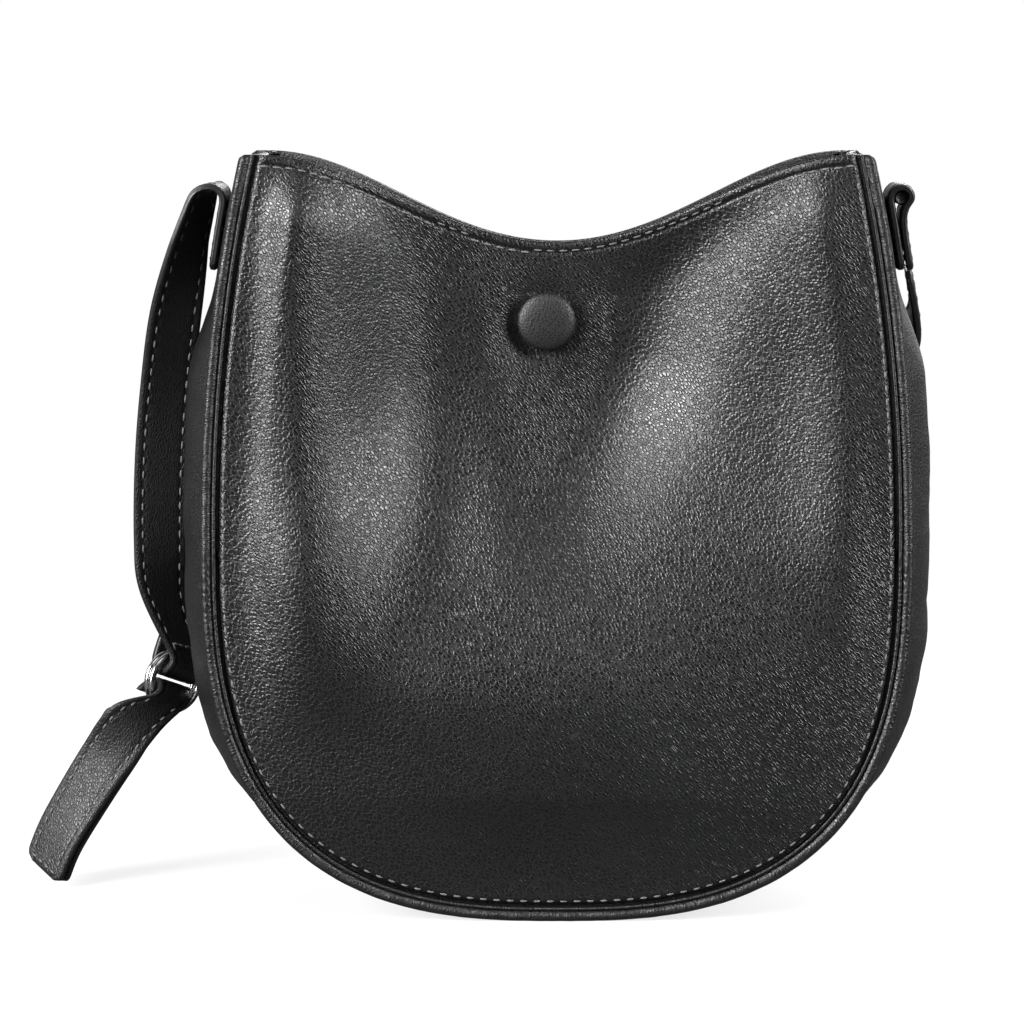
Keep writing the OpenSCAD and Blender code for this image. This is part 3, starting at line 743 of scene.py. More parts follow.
makePiping("frontPiping", -1, "front", "front_piping")
makePiping("backPiping", 1, "bag", "back_piping")


def makeCord(name, side, body, node):
    # the cord inside the piping, which ends a little below the piping's rounded ends
    radius = pipingLook["cordRadius"]
    section = np.array([(radius * math.cos(a), radius * math.sin(a))
                        for a in np.linspace(0, 2 * math.pi, 13)[:-1]])

    def place(u, v):
        around, deep = section[np.round(u * len(section)).astype(int) % len(section)].T
        x, z = seamPoint((-2 + 4 * v) * pipingLook["cordShare"], pipingLook["radius"] - around)
        return np.stack([x, side * (halfDepth(z) - pipingLook["centreDepth"] - deep), z], axis=1)

    piece = gridPiece(name, len(section), 300, place)
    closeSwept(piece, 70)
    dress(piece, "pipingCore", "piping_core", body, node)


makeCord("frontCord", -1, "front", "front_piping_cord")
makeCord("backCord", 1, "bag", "back_piping_cord")

print("gusset")

gussetLook = {
    "inset": 1.75,
    "edgeDepth": 2.75,      # its edges tuck in behind the piping
    "bulge": 9.3,
    "baseSag": 0.3,
    "swellFromZ": 4,
    "swellFullZ": 58,
    "baseFlatZ": 30,
    "basePower": 6,
    "sidePower": 2,
    "tabPinchZ": 155.7,
    "tabPinchLength": 32,
    "tabPinchShare": 0.6,
    "mouthPinchZ": 209,
    "mouthPinchShare": 0.75,
    "thickness": 1.6,
    "columns": 40,
    "stations": 420,
    "creaseDepth": 0.7,
    "blendFrom": -8.5,
    "blendTo": -18.0,
}


def gussetSwell(z):
    look = gussetLook
    rest = look["inset"] + look["baseSag"]
    grow = smooth((z - look["swellFromZ"]) / (look["swellFullZ"] - look["swellFromZ"]))
    pinch = 1 - look["tabPinchShare"] * smooth((z - look["tabPinchZ"]) / look["tabPinchLength"])
    close = smooth((z - look["mouthPinchZ"]) / (bag["cornerZ"] - look["mouthPinchZ"]))
    mouth = look["bulge"] * look["mouthPinchShare"] * close
    return (rest + (look["bulge"] - rest) * grow) * pinch - mouth


def swellShare(z, s):
    look = gussetLook
    power = look["sidePower"] + (look["basePower"] - look["sidePower"]) * (1 - smooth(z / look["baseFlatZ"]))
    return 1 - np.abs(s) ** power


def gussetOut(z):
    return bag["halfWidth"] - taperAt(z) - gussetLook["inset"] + gussetSwell(z)


def gussetPoint(t, s):
    # s runs from -1 at the front seam to 1 at the back one
    look = gussetLook
    z = seamPoint(t, 0)[1]
    y = s * (halfDepth(z) - look["edgeDepth"])
    x, z = seamPoint(t, look["inset"] - gussetSwell(z) * swellShare(z, s))
    points = np.stack([x, y, np.maximum(z, 0)], axis=1)
    # slack creases that run across the strip, deepest at the bowl's corners
    wave = surfaceNoise(points * (1, 0.35, 1), 16, 21, 3) * (1 - np.abs(s) ** 3)
    corner = bump(np.abs(t), 0.9, 0.5) + 0.35
    push = wave * look["creaseDepth"] * corner * smooth((points[:, 2] - 6) / 14)
    outward = np.stack([x, np.zeros_like(x), (z - bag["widestZ"]) * (np.abs(t) < 1)], axis=1)
    outward = outward / np.maximum(np.linalg.norm(outward, axis=1), 1e-6)[:, None]
    return points + outward * push[:, None]


def makeGusset():
    look = gussetLook

    def place(u, v):
        # the columns lie closer together towards the edges
        s = 2 * u - 1
        s = np.sign(s) * (1 - (1 - np.abs(s)) ** 1.25)
        return gussetPoint(-2 + 4 * v, s)

    piece = gridPiece("gussetStrip", look["columns"], look["stations"], place)
    mergeDoubles(piece)
    finishSheet(piece, {"from": (0, 0, bag["widestZ"])}, look["thickness"])
    dress(piece, "gussetLeather", "leather", None, "gusset")
    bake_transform(piece)


makeGusset()

print("inside")

insideLook = {
    "facingHeight": 32,
    "facingThickness": 1.0,
    "liningThickness": 0.4,
    "facingDepth": 2.2,
    "liningDepth": 4.15,
    "facingInset": 8.55,
    "liningInset": 8.4,
    "gussetLiningInset": 4.95,
    "gussetLiningDepth": 6.7,
    "reach": 11 / 12,       # how far towards the corners they run
    "underFacing": 0.3,     # the lining's top edge is this far below the facing
    "slack": 0.9,
}


def makeInside(name, side, body, node, kind):
    look = insideLook
    facing = kind == "facing"
    inset = look[kind + "Inset"]
    drawn = (bag["halfWidth"] - inset) / (bag["halfWidth"] - bag["panelInset"])

    def place(u, v):
        c = (2 * u - 1) * look["reach"]
        share = columnShare(c) * drawn
        high = topZ(share)
        if facing:
            z = high - look["facingHeight"] * (1 - v)
        else:
            low = bowlZ(c, inset)
            z = low + (high - look["facingHeight"] - look["underFacing"] - low) * v
        depth = faceDepth(share, z) - look[kind + "Depth"]
        x = share * panelHalfWidth(z)
        near = distanceToSeam(x, z, bag["panelInset"])
        depth = depth + panelRise(side, x, z, near, high - z)
        points = np.stack([x, side * depth, z], axis=1)
        if not facing:
            points[:, 1] -= side * np.clip(surfaceNoise(points, 30, 31 + side, 2), 0, 0.9) * look["slack"]
        return points

    piece = gridPiece(name, 120, 24 if facing else 80, place)
    finishSheet(piece, {"along": (0, side, 0)}, look[kind + "Thickness"], 0.2 if facing else 0)
    material, slot = ("strapLeather", "leather") if facing else ("liningCloth", "lining_cloth")
    dress(piece, material, slot, body, node)


makeInside("frontFacing", -1, "front", "front_facing", "facing")
makeInside("backFacing", 1, "bag", "back_facing", "facing")
makeInside("frontLining", -1, "front", "front_lining", "lining")
makeInside("backLining", 1, "bag", "back_lining", "lining")


def makeGussetLining():
    look = insideLook

    def place(u, v):
        t = (-2 + 4 * v) * look["reach"]
        s = 2 * u - 1
        z = seamPoint(t, 0)[1]
        swell = (gussetSwell(z) - gussetLook["inset"] - gussetLook["baseSag"]) * swellShare(z, s)
        x, high = seamPoint(t, look["gussetLiningInset"] - swell)
        return np.stack([x, s * (halfDepth(z) - look["gussetLiningDepth"]), high], axis=1)

    piece = gridPiece("gussetLining", 24, 200, place)
    finishSheet(piece, {"from": (0, 0, bag["widestZ"])}, look["liningThickness"], 0)
    dress(piece, "liningCloth", "lining_cloth", None, "gusset_lining")
    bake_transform(piece)


makeGussetLining()

print("button")

buttonLook = {
    "radius": 8.5,
    "height": 4.2,
    "baseY": -5.85,
    "rimShare": 0.42,       # of the height, where the dome begins
    "domeShare": 0.58,
    "domePower": 0.8,
    "rimPower": 0.92,       # how full the dome and the base are towards the rim
    "basePower": 0.6,
    "baseShare": 0.985,
    "pleats": 22,
    "pleatDepth": 0.12,
    "dent": 0.10,
}


def makeButton():
    look = buttonLook
    radius, height = look["radius"], look["height"]
    bpy.ops.object.select_all(action="DESELECT")
    bpy.ops.mesh.primitive_uv_sphere_add(segments=88, ring_count=44, radius=1)
    piece = bpy.context.object
    flat = readRows(piece.data.vertices, "co")
    # the pole faces forward; the front half is a low dome and the back half a flat base
    lift = flat[:, 2]
    ring = np.hypot(flat[:, 0], flat[:, 1])
    angle = np.arctan2(flat[:, 1], flat[:, 0])
    out = np.where(lift > 0, radius * ring ** look["rimPower"],
                   radius * ring ** look["basePower"] * look["baseShare"])
    dome = look["rimShare"] + look["domeShare"] * np.clip(lift, 0, 1) ** look["domePower"]
    high = np.where(lift > 0, height * dome, height * look["rimShare"] * (1 - np.clip(-lift * 1.6, 0, 1)))
    # pleats round the rim, and a slight dent right of the middle
    edge = smooth((out - radius * 0.8) / (radius * 0.2)) * (high < height * 0.55)
    out = out + look["pleatDepth"] * np.sin(angle * look["pleats"] + 0.9 * np.sin(angle * 3)) * edge
    x, z = out * np.cos(angle), out * np.sin(angle)
    high = high - look["dent"] * np.exp(-(((x - 2.4) / 1.6) ** 2 + ((z - 1) / 5) ** 2))
    sculpt(piece, "buttonCover", np.stack([buttonPlace["x"] + x, look["baseY"] - high, buttonPlace["z"] + z],
                                          axis=1))
    mergeDoubles(piece)
    faceOutwards(piece, {"from": (buttonPlace["x"], look["baseY"] - 1, buttonPlace["z"])})
    smoothShade(piece, 60)
    dress(piece, "buttonLeather", "leather", "front", "button_cover")


makeButton()

print("straps")

strapLook = {
    "width": 16.5,
    "neckWidth": 13,
    "thickness": 2.2,
    "edgeRound": 0.8,
    "edgeFall": 0.3,
    "edgeDepth": 0.35,      # from the edge to where the faces begin
    "paintDepth": 0.32,     # the mesh faces this near the edge are painted
    "pliesGroove": 0.18,
    "stitchInset": 2.6,
    "stitchGroove": 0.22,
    "stitchPitch": 4.6,
    "stitchLength": 2.6,
    "crossCount": 4,
    "crossLength": 2.2,
    "crossInset": 3.8,
    "endRound": 3.0,
}


def strapSection():
    # across and through, round the strap: crowned faces with stitch grooves, and painted edges
    look = strapLook
    half, deep = look["width"] / 2, look["thickness"] / 2
    face = np.array([-1, -0.985, -0.94, -0.86, -0.8, -0.74, -0.685, -0.63, -0.55, -0.35, -0.12,
                     0.12, 0.35, 0.55, 0.63, 0.685, 0.74, 0.8, 0.86, 0.94, 0.985, 1])
    across = face * (half - look["edgeDepth"])
    groove = look["stitchGroove"] * np.exp(-((half - np.abs(across) - look["stitchInset"]) / 0.55) ** 2)
    fallFrom = half - look["edgeRound"] - look["edgeDepth"]
    fall = np.clip((np.abs(across) - fallFrom) / look["edgeRound"], 0, 1) ** 2 * look["edgeFall"]
    top = np.stack([across, deep - groove - fall], axis=1)
    side = np.array([[half - 0.08, deep * 0.55], [half, deep * 0.3], [half - look["pliesGroove"], 0.0],
                     [half, -deep * 0.3], [half - 0.08, -deep * 0.55]])
    bottom = np.stack([across[::-1], -(deep - groove - fall)[::-1]], axis=1)
    return np.concatenate([top, side, bottom, -side])


def unit(v):
    return v / np.maximum(np.linalg.norm(v, axis=-1, keepdims=True), 1e-9)


def resample(stations, step):
    # stations hold place, width direction and maybe the width; the result has one every step
    stations = np.array([[*s, strapLook["width"]] if len(s) == 6 else s for s in stations], float)
    run = np.concatenate([[0], np.cumsum(np.linalg.norm(np.diff(stations[:, :3], axis=0), axis=1))])
    count = int(math.ceil(run[-1] / step)) + 1
    wanted = np.linspace(0, run[-1], count)
    fine = np.stack([np.interp(wanted, run, stations[:, k]) for k in range(7)], axis=1)
    for _ in range(2):      # takes the corners of the coarse line away
        fine[1:-1] = fine[1:-1] * 0.5 + (fine[:-2] + fine[2:]) * 0.25
    return fine[:, :3], unit(fine[:, 3:6]), fine[:, 6], wanted


def frameOf(places, widths):
    along = unit(np.gradient(places, axis=0))
    normal = unit(np.cross(along, widths))
    return along, normal


def makeStrap(name, stations, body, replaced, ends=(True, True), step=1.3, blend=None):
    # ends tells which ends are rounded; the strap's line is given back
    look = strapLook
    section = strapSection()
    places, widths, breadths, run = resample(stations, step)
    along, normal = frameOf(places, widths)
    total = run[-1]
    size = len(section)

    def place(u, v):
        index = np.round(u * size).astype(int) % size
        row = np.round(v * (len(places) - 1)).astype(int)
        across, through = section[index].T
        narrow = breadths / look["width"]
        for end, away in ((ends[0], run), (ends[1], total - run)):
            if end:
                k = np.clip(1 - away / look["endRound"], 0, 1)
                lost = look["endRound"] * (1 - np.sqrt(1 - k * k * 0.98))
                narrow = narrow * (1 - lost / (look["width"] / 2))
        thin = np.ones(len(places))
        for away in (run, total - run):
            thin = thin * (1 - 0.35 * np.clip(1 - away / 0.9, 0, 1) ** 2)
        points = places[row] + widths[row] * (across * narrow[row])[:, None]
        return points + normal[row] * (through * thin[row])[:, None]

    piece = gridPiece(name, size, len(places) - 1, place)
    closeSwept(piece, 60)
    dress(piece, "strapLeather", "leather", None if blend else body, *replaced)
    piece.data.materials.append(materials["edgePaint"])
    paintEdges(piece, places, widths, breadths)
    if blend:
        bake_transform(piece)
    return places, widths, breadths, along, normal, run


def paintEdges(piece, places, widths, breadths):
    # faces near the strap's two edges get the edge paint
    centres = readRows(piece.data.polygons, "center") / mm
    paint = np.zeros(len(centres), int)
    for index, centre in enumerate(centres):
        nearest = np.argmin(((places - centre) ** 2).sum(axis=1))
        across = abs((centre - places[nearest]) @ widths[nearest])
        paint[index] = across > breadths[nearest] / 2 - strapLook["paintDepth"]
    piece.data.polygons.foreach_set("material_index", paint)


def stitchBothFaces(name, strap, shares, inset, deep, crosswise, body, **look):
    # a stitch for each share of the half width and index along the strap, on both faces
    places, widths, breadths, along, normal = strap[:5]
    spots, alongs, normals = [], [], []
    for facing in (1, -1):
        for share, k in shares:
            across = widths[k] * share * (breadths[k] / 2 - inset)
            spots.append(places[k] + across + normal[k] * facing * deep)
            alongs.append(widths[k] if crosswise else along[k])
            normals.append(normal[k] * facing)
    addStitches(name, spots, alongs, normals, body, **look)


def strapStitches(name, strap, body, span=(4, -4), pitch=strapLook["stitchPitch"],
                  length=strapLook["stitchLength"], blend=None):
    # two rows on each face; span is where they start from the first end and stop from the last
    look = strapLook
    run = strap[-1]
    marks = np.arange(span[0], run[-1] + span[1], pitch)
    pick = [int(np.argmin(np.abs(run - m))) for m in marks]
    shares = [(edge, k) for edge in (-1, 1) for k in pick]
    stitchBothFaces(name, strap, shares, look["stitchInset"], look["thickness"] / 2 - look["stitchGroove"],
                    False, body, length=length, blend=blend)


def crossStitches(name, strap, at, body, blend=None):
    # a short row across each face, at a place counted from the first end or, if negative, the last
    look = strapLook
    run = strap[-1]
    k = int(np.argmin(np.abs(run - (at if at >= 0 else run[-1] + at))))
    shares = [(share, k) for share in np.linspace(-1, 1, look["crossCount"])]
    stitchBothFaces(name, strap, shares, look["crossInset"], look["thickness"] / 2, True, body,
                    length=look["crossLength"], blend=blend)


def widthDir(turn, slant):
    turn, slant = math.radians(turn), math.radians(slant)
    return [math.cos(turn) * math.cos(slant), math.sin(turn) * math.cos(slant), -math.sin(slant)]


def curvePoints(control, count):
    # a smooth curve through the control points
    control = np.array(control, float)
    last = len(control) - 1
    points = []
    for i in range(last):
        a, b = control[max(0, i - 1)], control[i]
        d, e = control[i + 1], control[min(last, i + 2)]
        for k in range(count):
            t = k / count
            points.append(b + (d - a) * t / 2 + (a * 2 - b * 5 + d * 4 - e) * t * t / 2
                          + (b * 3 - a - d * 3 + e) * t ** 3 / 2)
    points.append(control[last])
    return [[*p[:3], *widthDir(p[3], p[4]), *p[5:]] for p in points]


def legX(z):
    # how far out the middle of a sewn leg lies at a height
    return float(gussetOut(np.array(float(z)))) + fold["gap"] + strapLook["thickness"] / 2


fold = {"z": 209, "leftRadius": 3.4, "rightRadius": 3.2, "legLength": 21, "gap": 0.15, "turn": 84,
        "footTurn": 84, "closePower": 7}        # the power is how soon the legs close below the eye
fold["legZ"] = fold["z"] - fold["legLength"]
fold["legX"] = legX(fold["z"])
fold["leftX"] = -fold["legX"] - fold["leftRadius"]
fold["rightX"] = fold["legX"] + fold["rightRadius"]
# The rings' centre and tilt, the straps' bend round them, and how the left strap's end laps back
ring = {"centre": np.array([-117.0, 20.0, 61.0]), "turn": 42, "slant": 22, "bendR": 4.85, "bendH": 6.25,
        "laps": [(0, 4.1), (0.55, 9.9)]}
# Its own axes: width along the slanted bar, up in the ring's plane, and outward
ring["w"] = np.array(widthDir(ring["turn"], ring["slant"]))
turnAngle, slantAngle = math.radians(ring["turn"]), math.radians(ring["slant"])
ring["u"] = np.array([math.cos(turnAngle) * math.sin(slantAngle), math.sin(turnAngle) * math.sin(slantAngle),
                      math.cos(slantAngle)])
ring["n"] = np.array([math.sin(turnAngle), -math.cos(turnAngle), 0])


def byRing(n, u):
    return ring["centre"] + ring["n"] * n + ring["u"] * u


def legStations(side):
    # up the sewn leg to where the fold begins
    return [[side * legX(z), 0, z, 0, 1, 0] for z in np.linspace(fold["legZ"], fold["z"], 8)[:-1]]


def foldStation(x, r, k, width):
    # a place on the arch round x, at the angle k from its top
    return [x + r * math.sin(k), 0, fold["z"] + r * math.cos(k), *width]


def bendStations(at, angles):
    # round the rings; at places a point by how far outward and up it is
    neck = strapLook["neckWidth"]
    r, h = ring["bendR"], ring["bendH"]
    return [[*at(r * math.cos(k), h - r * math.sin(k)), *ring["w"], neck] for k in map(math.radians, angles)]


# The hanging stretch: shares of its reach out, back and down, with its turn and slant
hangShares = [[0.33, 0.07, 0.09, 55, 0], [0.67, 0.2, 0.23, 30, 0], [0.91, 0.4, 0.37, 23, 0],
              [1.09, 0.55, 0.53, 16, 0], [1.18, 0.7, 0.7, 20, 2], [1.15, 0.82, 0.82, 38, 12]]


def leftStations():
    # sewn leg, fold, hanging stretch and the bend round the rings
    r, neck = fold["leftRadius"], strapLook["neckWidth"]
    stations = legStations(-1)
    for a in range(90, -81, -6):
        turn = 90 - (90 - a) / 15 if a > 0 else fold["turn"] + a / 5
        stations.append(foldStation(fold["leftX"], r, math.radians(a), widthDir(turn, 0)))
    hangX = fold["leftX"] - r
    outX, outY, outZ = ring["centre"]
    control = [[hangX + s[0] * (outX - hangX), s[1] * outY, fold["z"] + s[2] * (outZ - fold["z"]), s[3], s[4],
                strapLook["width"]] for s in hangShares]
    control.append([*byRing(ring["bendR"], ring["bendH"]), ring["turn"], ring["slant"], neck])
    stations += curvePoints(control, 8) + bendStations(byRing, range(15, 181, 15))
    for inwards, up in ring["laps"]:
        stations.append([*byRing(-ring["bendR"] + inwards, ring["bendH"] + up), *ring["w"], neck])
    return stations


# The leg is sewn to the bag and the rest swings; the two places lie this far each way from the arch's middle,
# and a strap given these is baked in place rather than put on a body
archX, bendHalf = fold["leftX"], 2.4
leftBlend = ("bag", "strap_left", ((archX + bendHalf) * mm, 0, fold["z"] * mm),
             ((archX - bendHalf) * mm, 0, fold["z"] * mm))
leftLine = makeStrap("leftStrap", leftStations(), "strap_left", ["left_tab", "strap_left"], blend=leftBlend,
                     step=1.1)
strapStitches("leftStrapStitches", leftLine, "strap_left", blend=leftBlend, span=(3, -30))
crossStitches("leftLegStitches", leftLine, 3, "bag", blend=leftBlend)
crossStitches("leftNeckStitches", leftLine, -31, "bag", blend=leftBlend)

tailLook = {"lean": 49, "length": 66, "forward": 0.1, "shift": 0.6, "layerGap": 0.6, "pitch": 3.9,
            "stitch": 2.2}
# The tail's free stretch: shares of its length to the left and down, with its turn and slant
tailShares = [[0.15, 0.07, 16, 33], [0.29, 0.25, -20, 32], [0.416, 0.44, -33, 29],
              [0.526, 0.625, -40, 27], [0.589, 0.78, -41, 26]]


def tailStations():
    # the bend round the rings and the free stretch, which is also given by itself
    look = tailLook
    lean, length = math.radians(look["lean"]), look["length"]
    out = np.array([-math.sin(lean) * math.cos(turnAngle), -math.sin(lean) * math.sin(turnAngle),
                    -math.cos(lean)])
    shift = ring["w"] * look["shift"]

    def byTail(n, d):
        return ring["centre"] + shift + ring["n"] * n + out * d

    start = byTail(ring["bendR"], ring["bendH"])
    control = [[*start, ring["turn"], ring["slant"], strapLook["neckWidth"]]]
    control += [[start[0] - s[0] * length, start[1] - look["forward"] * length, start[2] - s[1] * length,
                 s[2], s[3], strapLook["width"]] for s in tailShares]
    free = curvePoints(control, 8)
    return bendStations(byTail, range(180, 14, -15)) + free, free


def rearTail(free):
    # the rear layer lies close behind the front one, and starts a little below the bend
    free = np.array(free)
    normal = frameOf(free[:, :3], unit(free[:, 3:6]))[1]
    back = normal * np.sign(normal[:, 1])[:, None]
    free[:, :3] += back * (strapLook["thickness"] + tailLook["layerGap"])
    return free[8:]


tailLine, tailFree = tailStations()
frontLine = makeStrap("tailFront", tailLine, "tail", ["tail_front"], ends=(False, True), step=1.1)
rearLine = makeStrap("tailRear", rearTail(tailFree), "tail", ["tail_rear"], step=1.1)
tailRow = {"pitch": tailLook["pitch"], "length": tailLook["stitch"]}
strapStitches("tailFrontStitches", frontLine, "tail", span=(20, -3), **tailRow)
crossStitches("tailEndStitches", frontLine, -2.6, "tail")
strapStitches("tailRearStitches", rearLine, "tail", span=(3, -3), **tailRow)


def legRoom(turn):
    # from the middle of one leg to the middle of the next, which turns away from it
    return strapLook["thickness"] + fold["gap"] + strapLook["width"] / 2 * math.cos(math.radians(turn))


def rightStations():
    # sewn leg, fold round the core, and the leg outside, which closes on the first below the eye
    r = fold["rightRadius"]
    stations = legStations(1)
    for a in range(-90, 91, 10):
        stations.append(foldStation(fold["rightX"], r, math.radians(a), [0, 1, 0]))
    for k in np.linspace(0, 1, 8)[1:]:
        z = fold["z"] - fold["legLength"] * k
        turn = 90 - (90 - fold["footTurn"]) * k
        room = legRoom(turn)
        out = legX(z) + room + max(0, 2 * r - room) * (1 - k) ** fold["closePower"]
        stations.append([out, 0, z, *widthDir(turn, 0)])
    return stations


rightLine = makeStrap("rightTab", rightStations(), "bag", ["right_tab"], step=0.9)
strapStitches("rightTabStitches", rightLine, "bag", span=(3, -2), pitch=3.6, length=2.2)

# Half the core's section, from its sunken front end to the back one: place along the core and radius
eyeCoreProfile = [(-6.9, 0.5), (-6.95, 1.3), (-7.25, 1.6), (-7.2, 1.8), (-6.9, 1.95), (-6.2, 2.0),
                  (6.2, 2.0), (6.9, 1.95), (7.2, 1.8), (7.25, 1.6), (6.95, 1.3), (6.9, 0.5)]


def makeEyeCore():
    # the leather-covered core that keeps the right eye open
    section = np.array(eyeCoreProfile)

    def place(u, v):
        step = np.round(v * (len(section) - 1)).astype(int)
        along, radius = section[step].T
        angle = 2 * math.pi * u
        x, z = fold["rightX"] + radius * np.cos(angle), fold["z"] + radius * np.sin(angle)
        return np.stack([x, along, z], axis=1)

    piece = gridPiece("eyeCore", 40, len(section) - 1, place)
    closeSwept(piece, 50)
    dress(piece, "strapLeather", "leather", "bag", "right_eye_core")


makeEyeCore()


longLook = {"gapBelowLeg": 0.1, "bodyGap": 0.3, "behindGap": 1.2}
# Behind the bag: shares of the half width and of the corner's height, with the strap's turn and slant
longShares = [[0.84, 0.66, 170, -68], [0.55, 0.57, 180, -72], [0.1, 0.46, 180, -72],
              [-0.35, 0.36, 180, -74], [-0.72, 0.28, 178, -74]]


def longStations():
    # from below the right tab, round the corner, behind the bag and forward beside the rings
    width, thickness = strapLook["width"], strapLook["thickness"]

    def edgeX(z):
        return bag["halfWidth"] - float(taperAt(np.array(z)))

    def behind(x, z):
        heights = np.array([z - width / 2, z, z + width / 2])
        share = np.minimum(1, abs(x) / panelHalfWidth(heights))
        return float(faceDepth(share, heights).max()) + longLook["behindGap"] + thickness / 2

    startZ = fold["legZ"] - longLook["gapBelowLeg"]
    turnZ = startZ - width
    besideX = float(gussetOut(np.array(turnZ))) + longLook["bodyGap"] + thickness
    cornerY = float(halfDepth(np.array(turnZ))) + 2 * thickness
    control = [[legX(fold["legZ"]) + legRoom(fold["footTurn"]), width * 0.5, startZ, 86, -8],
               [besideX, width * 0.95, turnZ, 95, -35],
               [edgeX(turnZ) + thickness, cornerY, turnZ - width * 0.6, 125, -60]]
    for x, z, turn, slant in longShares:
        x, z = x * bag["halfWidth"], z * bag["cornerZ"]
        control.append([x, behind(x, z), z, turn, slant])
    endX, endY = -bag["halfWidth"], bag["baseHalfDepth"]
    ringZ, bendH = ring["centre"][2], ring["bendH"]
    control.append([endX + 2 * thickness, endY + thickness, ringZ - bendH * 1.4, 145, -62])
    control.append([endX - thickness, endY - thickness, ringZ - bendH * 1.8, 110, -35])
    stations = curvePoints(control, 8)
    for station in stations:
        if abs(station[0]) < edgeX(station[2]):
            station[1] = max(station[1], behind(station[0], station[2]))
    return stations


longLine = makeStrap("longStrap", longStations(), "bag", ["long_strap"], step=1.6)
strapStitches("longStrapStitches", longLine, "bag")

print("CAD pieces")

# Pieces whose CAD shape stays, with their finish
kept = {
    "base_board": "greyBoard",
    "snap_stud": "snapSteel", "stud_washer": "snapSteel", "snap_socket": "snapSteel",
    "socket_washer": "snapSteel", "button_shell": "snapSteel",
    "ring_front": "polishedSteel", "ring_rear": "polishedSteel",
}
for nodeName, material in kept.items():
    for slot in nodes[nodeName].material_slots:
        slot.material = materials[material]

print("stage")

stage = {"floorSize": 12, "floorColour": 0.12, "floorWhite": 0.95, "wallY": 4.0, "floorGlow": 0.75,
         "whiteFrom": 0.12, "whiteAt": 0.8, "worldGlow": 0.015}


def stageMaterial(name, glow, inGloss):
    # matt, and pale to the camera; inGloss is how much of that paleness reflections show too
    material, tree, shader = newMaterial(name)
    link = tree.links.new
    shader.inputs["Roughness"].default_value = 0.9
    shader.inputs["Specular IOR Level"].default_value = 0.0
    rays = nodeIn(tree, "ShaderNodeLightPath").outputs
    seen = mathIn(tree, "MULTIPLY_ADD", rays["Is Glossy Ray"], inGloss, rays["Is Camera Ray"])
    seen = mathIn(tree, "ADD", seen, rays["Is Transmission Ray"], use_clamp=True)
    # white paint to the camera, so that the shadow shows, and greyer to the bag
    grey = stage["floorColour"]
    paint = mathIn(tree, "MULTIPLY_ADD", seen, stage["floorWhite"] - grey, grey)
    link(paint, shader.inputs["Base Color"])
    # far from the bag it glows white by itself, and nearer by the glow given
    place = nodeIn(tree, "ShaderNodeTexCoord").outputs["Object"]
    away = mathIn(tree, "LENGTH", place, kind=vectorMath).node.outputs["Value"]
    far = nodeIn(tree, "ShaderNodeMapRange", interpolation_type="SMOOTHSTEP", Value=away,
                 **{"From Min": stage["whiteFrom"], "From Max": stage["whiteAt"], "To Min": glow})
    white = nodeIn(tree, "ShaderNodeEmission", Strength=1.0, Color=(1, 1, 1, 1))
    mix = nodeIn(tree, "ShaderNodeMixShader")
    link(mathIn(tree, "MULTIPLY", seen, far.outputs["Result"]), mix.inputs[0])
    link(shader.outputs[0], mix.inputs[1])
    link(white.outputs[0], mix.inputs[2])
    link(mix.outputs[0], tree.nodes["Material Output"].inputs["Surface"])
    return material


def addPlane(name, material, location, rotation=(0, 0, 0)):
    bpy.ops.object.select_all(action="DESELECT")
    bpy.ops.mesh.primitive_plane_add(size=stage["floorSize"], location=location, rotation=rotation)
    plane = bpy.context.object
    plane.name = name
    bpy.ops.object.transform_apply(location=True, rotation=True)
    plane.data.materials.append(material)
    return plane


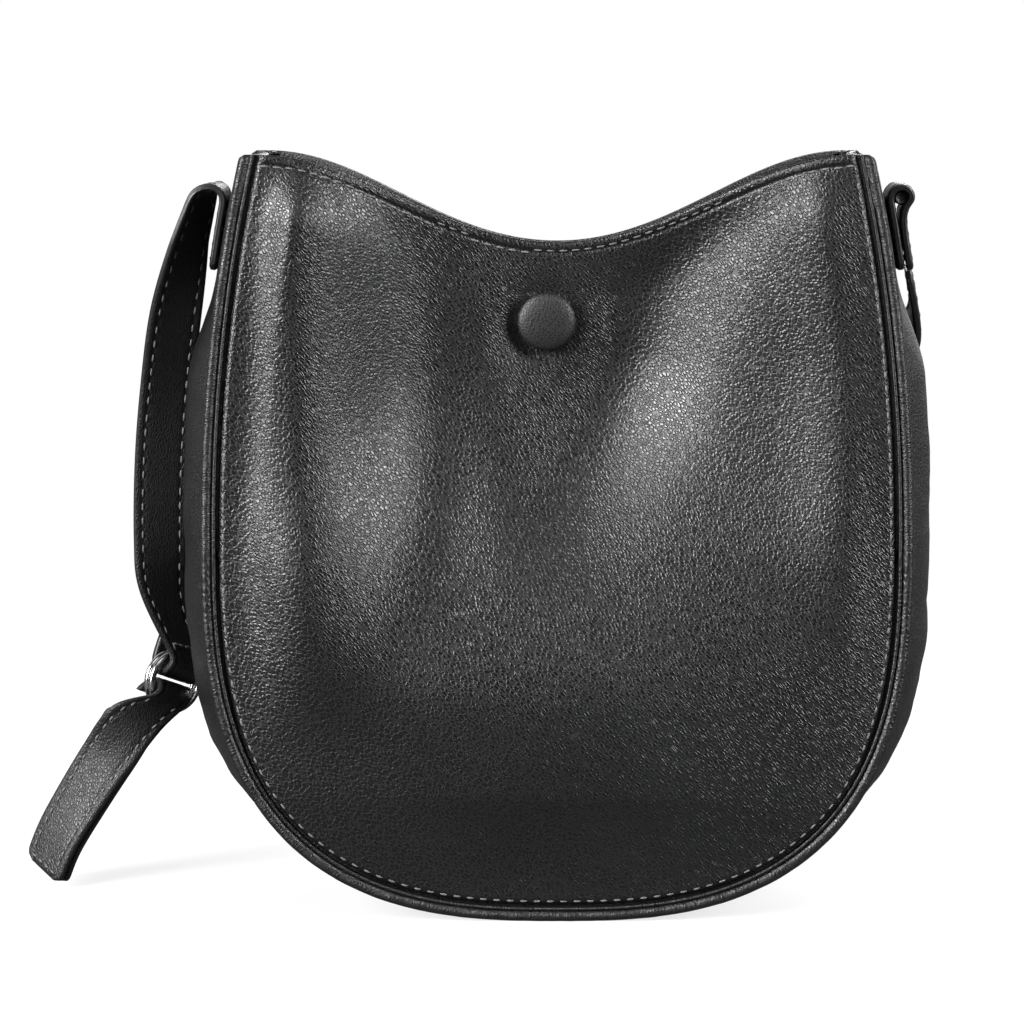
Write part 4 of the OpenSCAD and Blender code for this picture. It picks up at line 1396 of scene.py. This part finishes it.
floor = addPlane("floor", stageMaterial("paleFloor", stage["floorGlow"], 0.0), (0, 0, 0))
wall = addPlane("backdrop", stageMaterial("paleWall", 1.0, 1.0), (0, stage["wallY"], 2), (math.pi / 2, 0, 0))

# The world is white to the camera and all but black to the bag
world = bpy.data.worlds.new("studio")
bpy.context.scene.world = world
world.use_nodes = True
worldTree = world.node_tree
background = worldTree.nodes["Background"]
background.inputs["Color"].default_value = (1, 1, 1, 1)
worldRays = nodeIn(worldTree, "ShaderNodeLightPath").outputs
worldStrength = mathIn(worldTree, "MULTIPLY_ADD", worldRays["Is Camera Ray"], 1 - stage["worldGlow"],
                       stage["worldGlow"])
worldTree.links.new(worldStrength, background.inputs["Strength"])


def addAimed(name, data, place, target):
    # a lamp or camera that looks at the target
    holder = bpy.data.objects.new(name, data)
    bpy.context.collection.objects.link(holder)
    holder.location = place
    holder.rotation_euler = (Vector(target) - holder.location).to_track_quat("-Z", "Y").to_euler()
    return holder


lights = {
    "keyLight": {"place": (-1.5, -1.2, 0.9), "size": (0.8, 1.2), "power": 15},
    "fillLight": {"place": (1.8, -0.95, 1.0), "size": (0.7, 1.2), "power": 9},
    "topLight": {"place": (0.1, -1.1, 1.8), "size": (1.2, 0.6), "power": 0.8},
    "backLight": {"place": (0.7, 1.7, 1.1), "size": (1.2, 0.8), "power": 6},
}
lightSpread = 60        # keeps most of the light on the bag
lightTarget = (0, 0, 0.11)
for name, light in lights.items():
    lamp = bpy.data.lights.new(name, "AREA")
    lamp.shape = "RECTANGLE"
    lamp.size, lamp.size_y = light["size"]
    lamp.energy = light["power"]
    lamp.spread = math.radians(lightSpread)
    addAimed(name, lamp, light["place"], lightTarget)

cameraLook = {"target": (0, 0, 0.114), "distance": 1.0, "elevation": 8, "lens": 118.4,
              "shift": (-0.0439, 0.0059)}
camera = bpy.data.cameras.new("camera")
camera.lens = cameraLook["lens"]
camera.shift_x, camera.shift_y = cameraLook["shift"]
rise = math.radians(cameraLook["elevation"])
back = Vector((0, -math.cos(rise), math.sin(rise))) * cameraLook["distance"]
target = Vector(cameraLook["target"])
bpy.context.scene.camera = addAimed("camera", camera, target + back, target)

bpy.context.scene.view_settings.view_transform = "Standard"
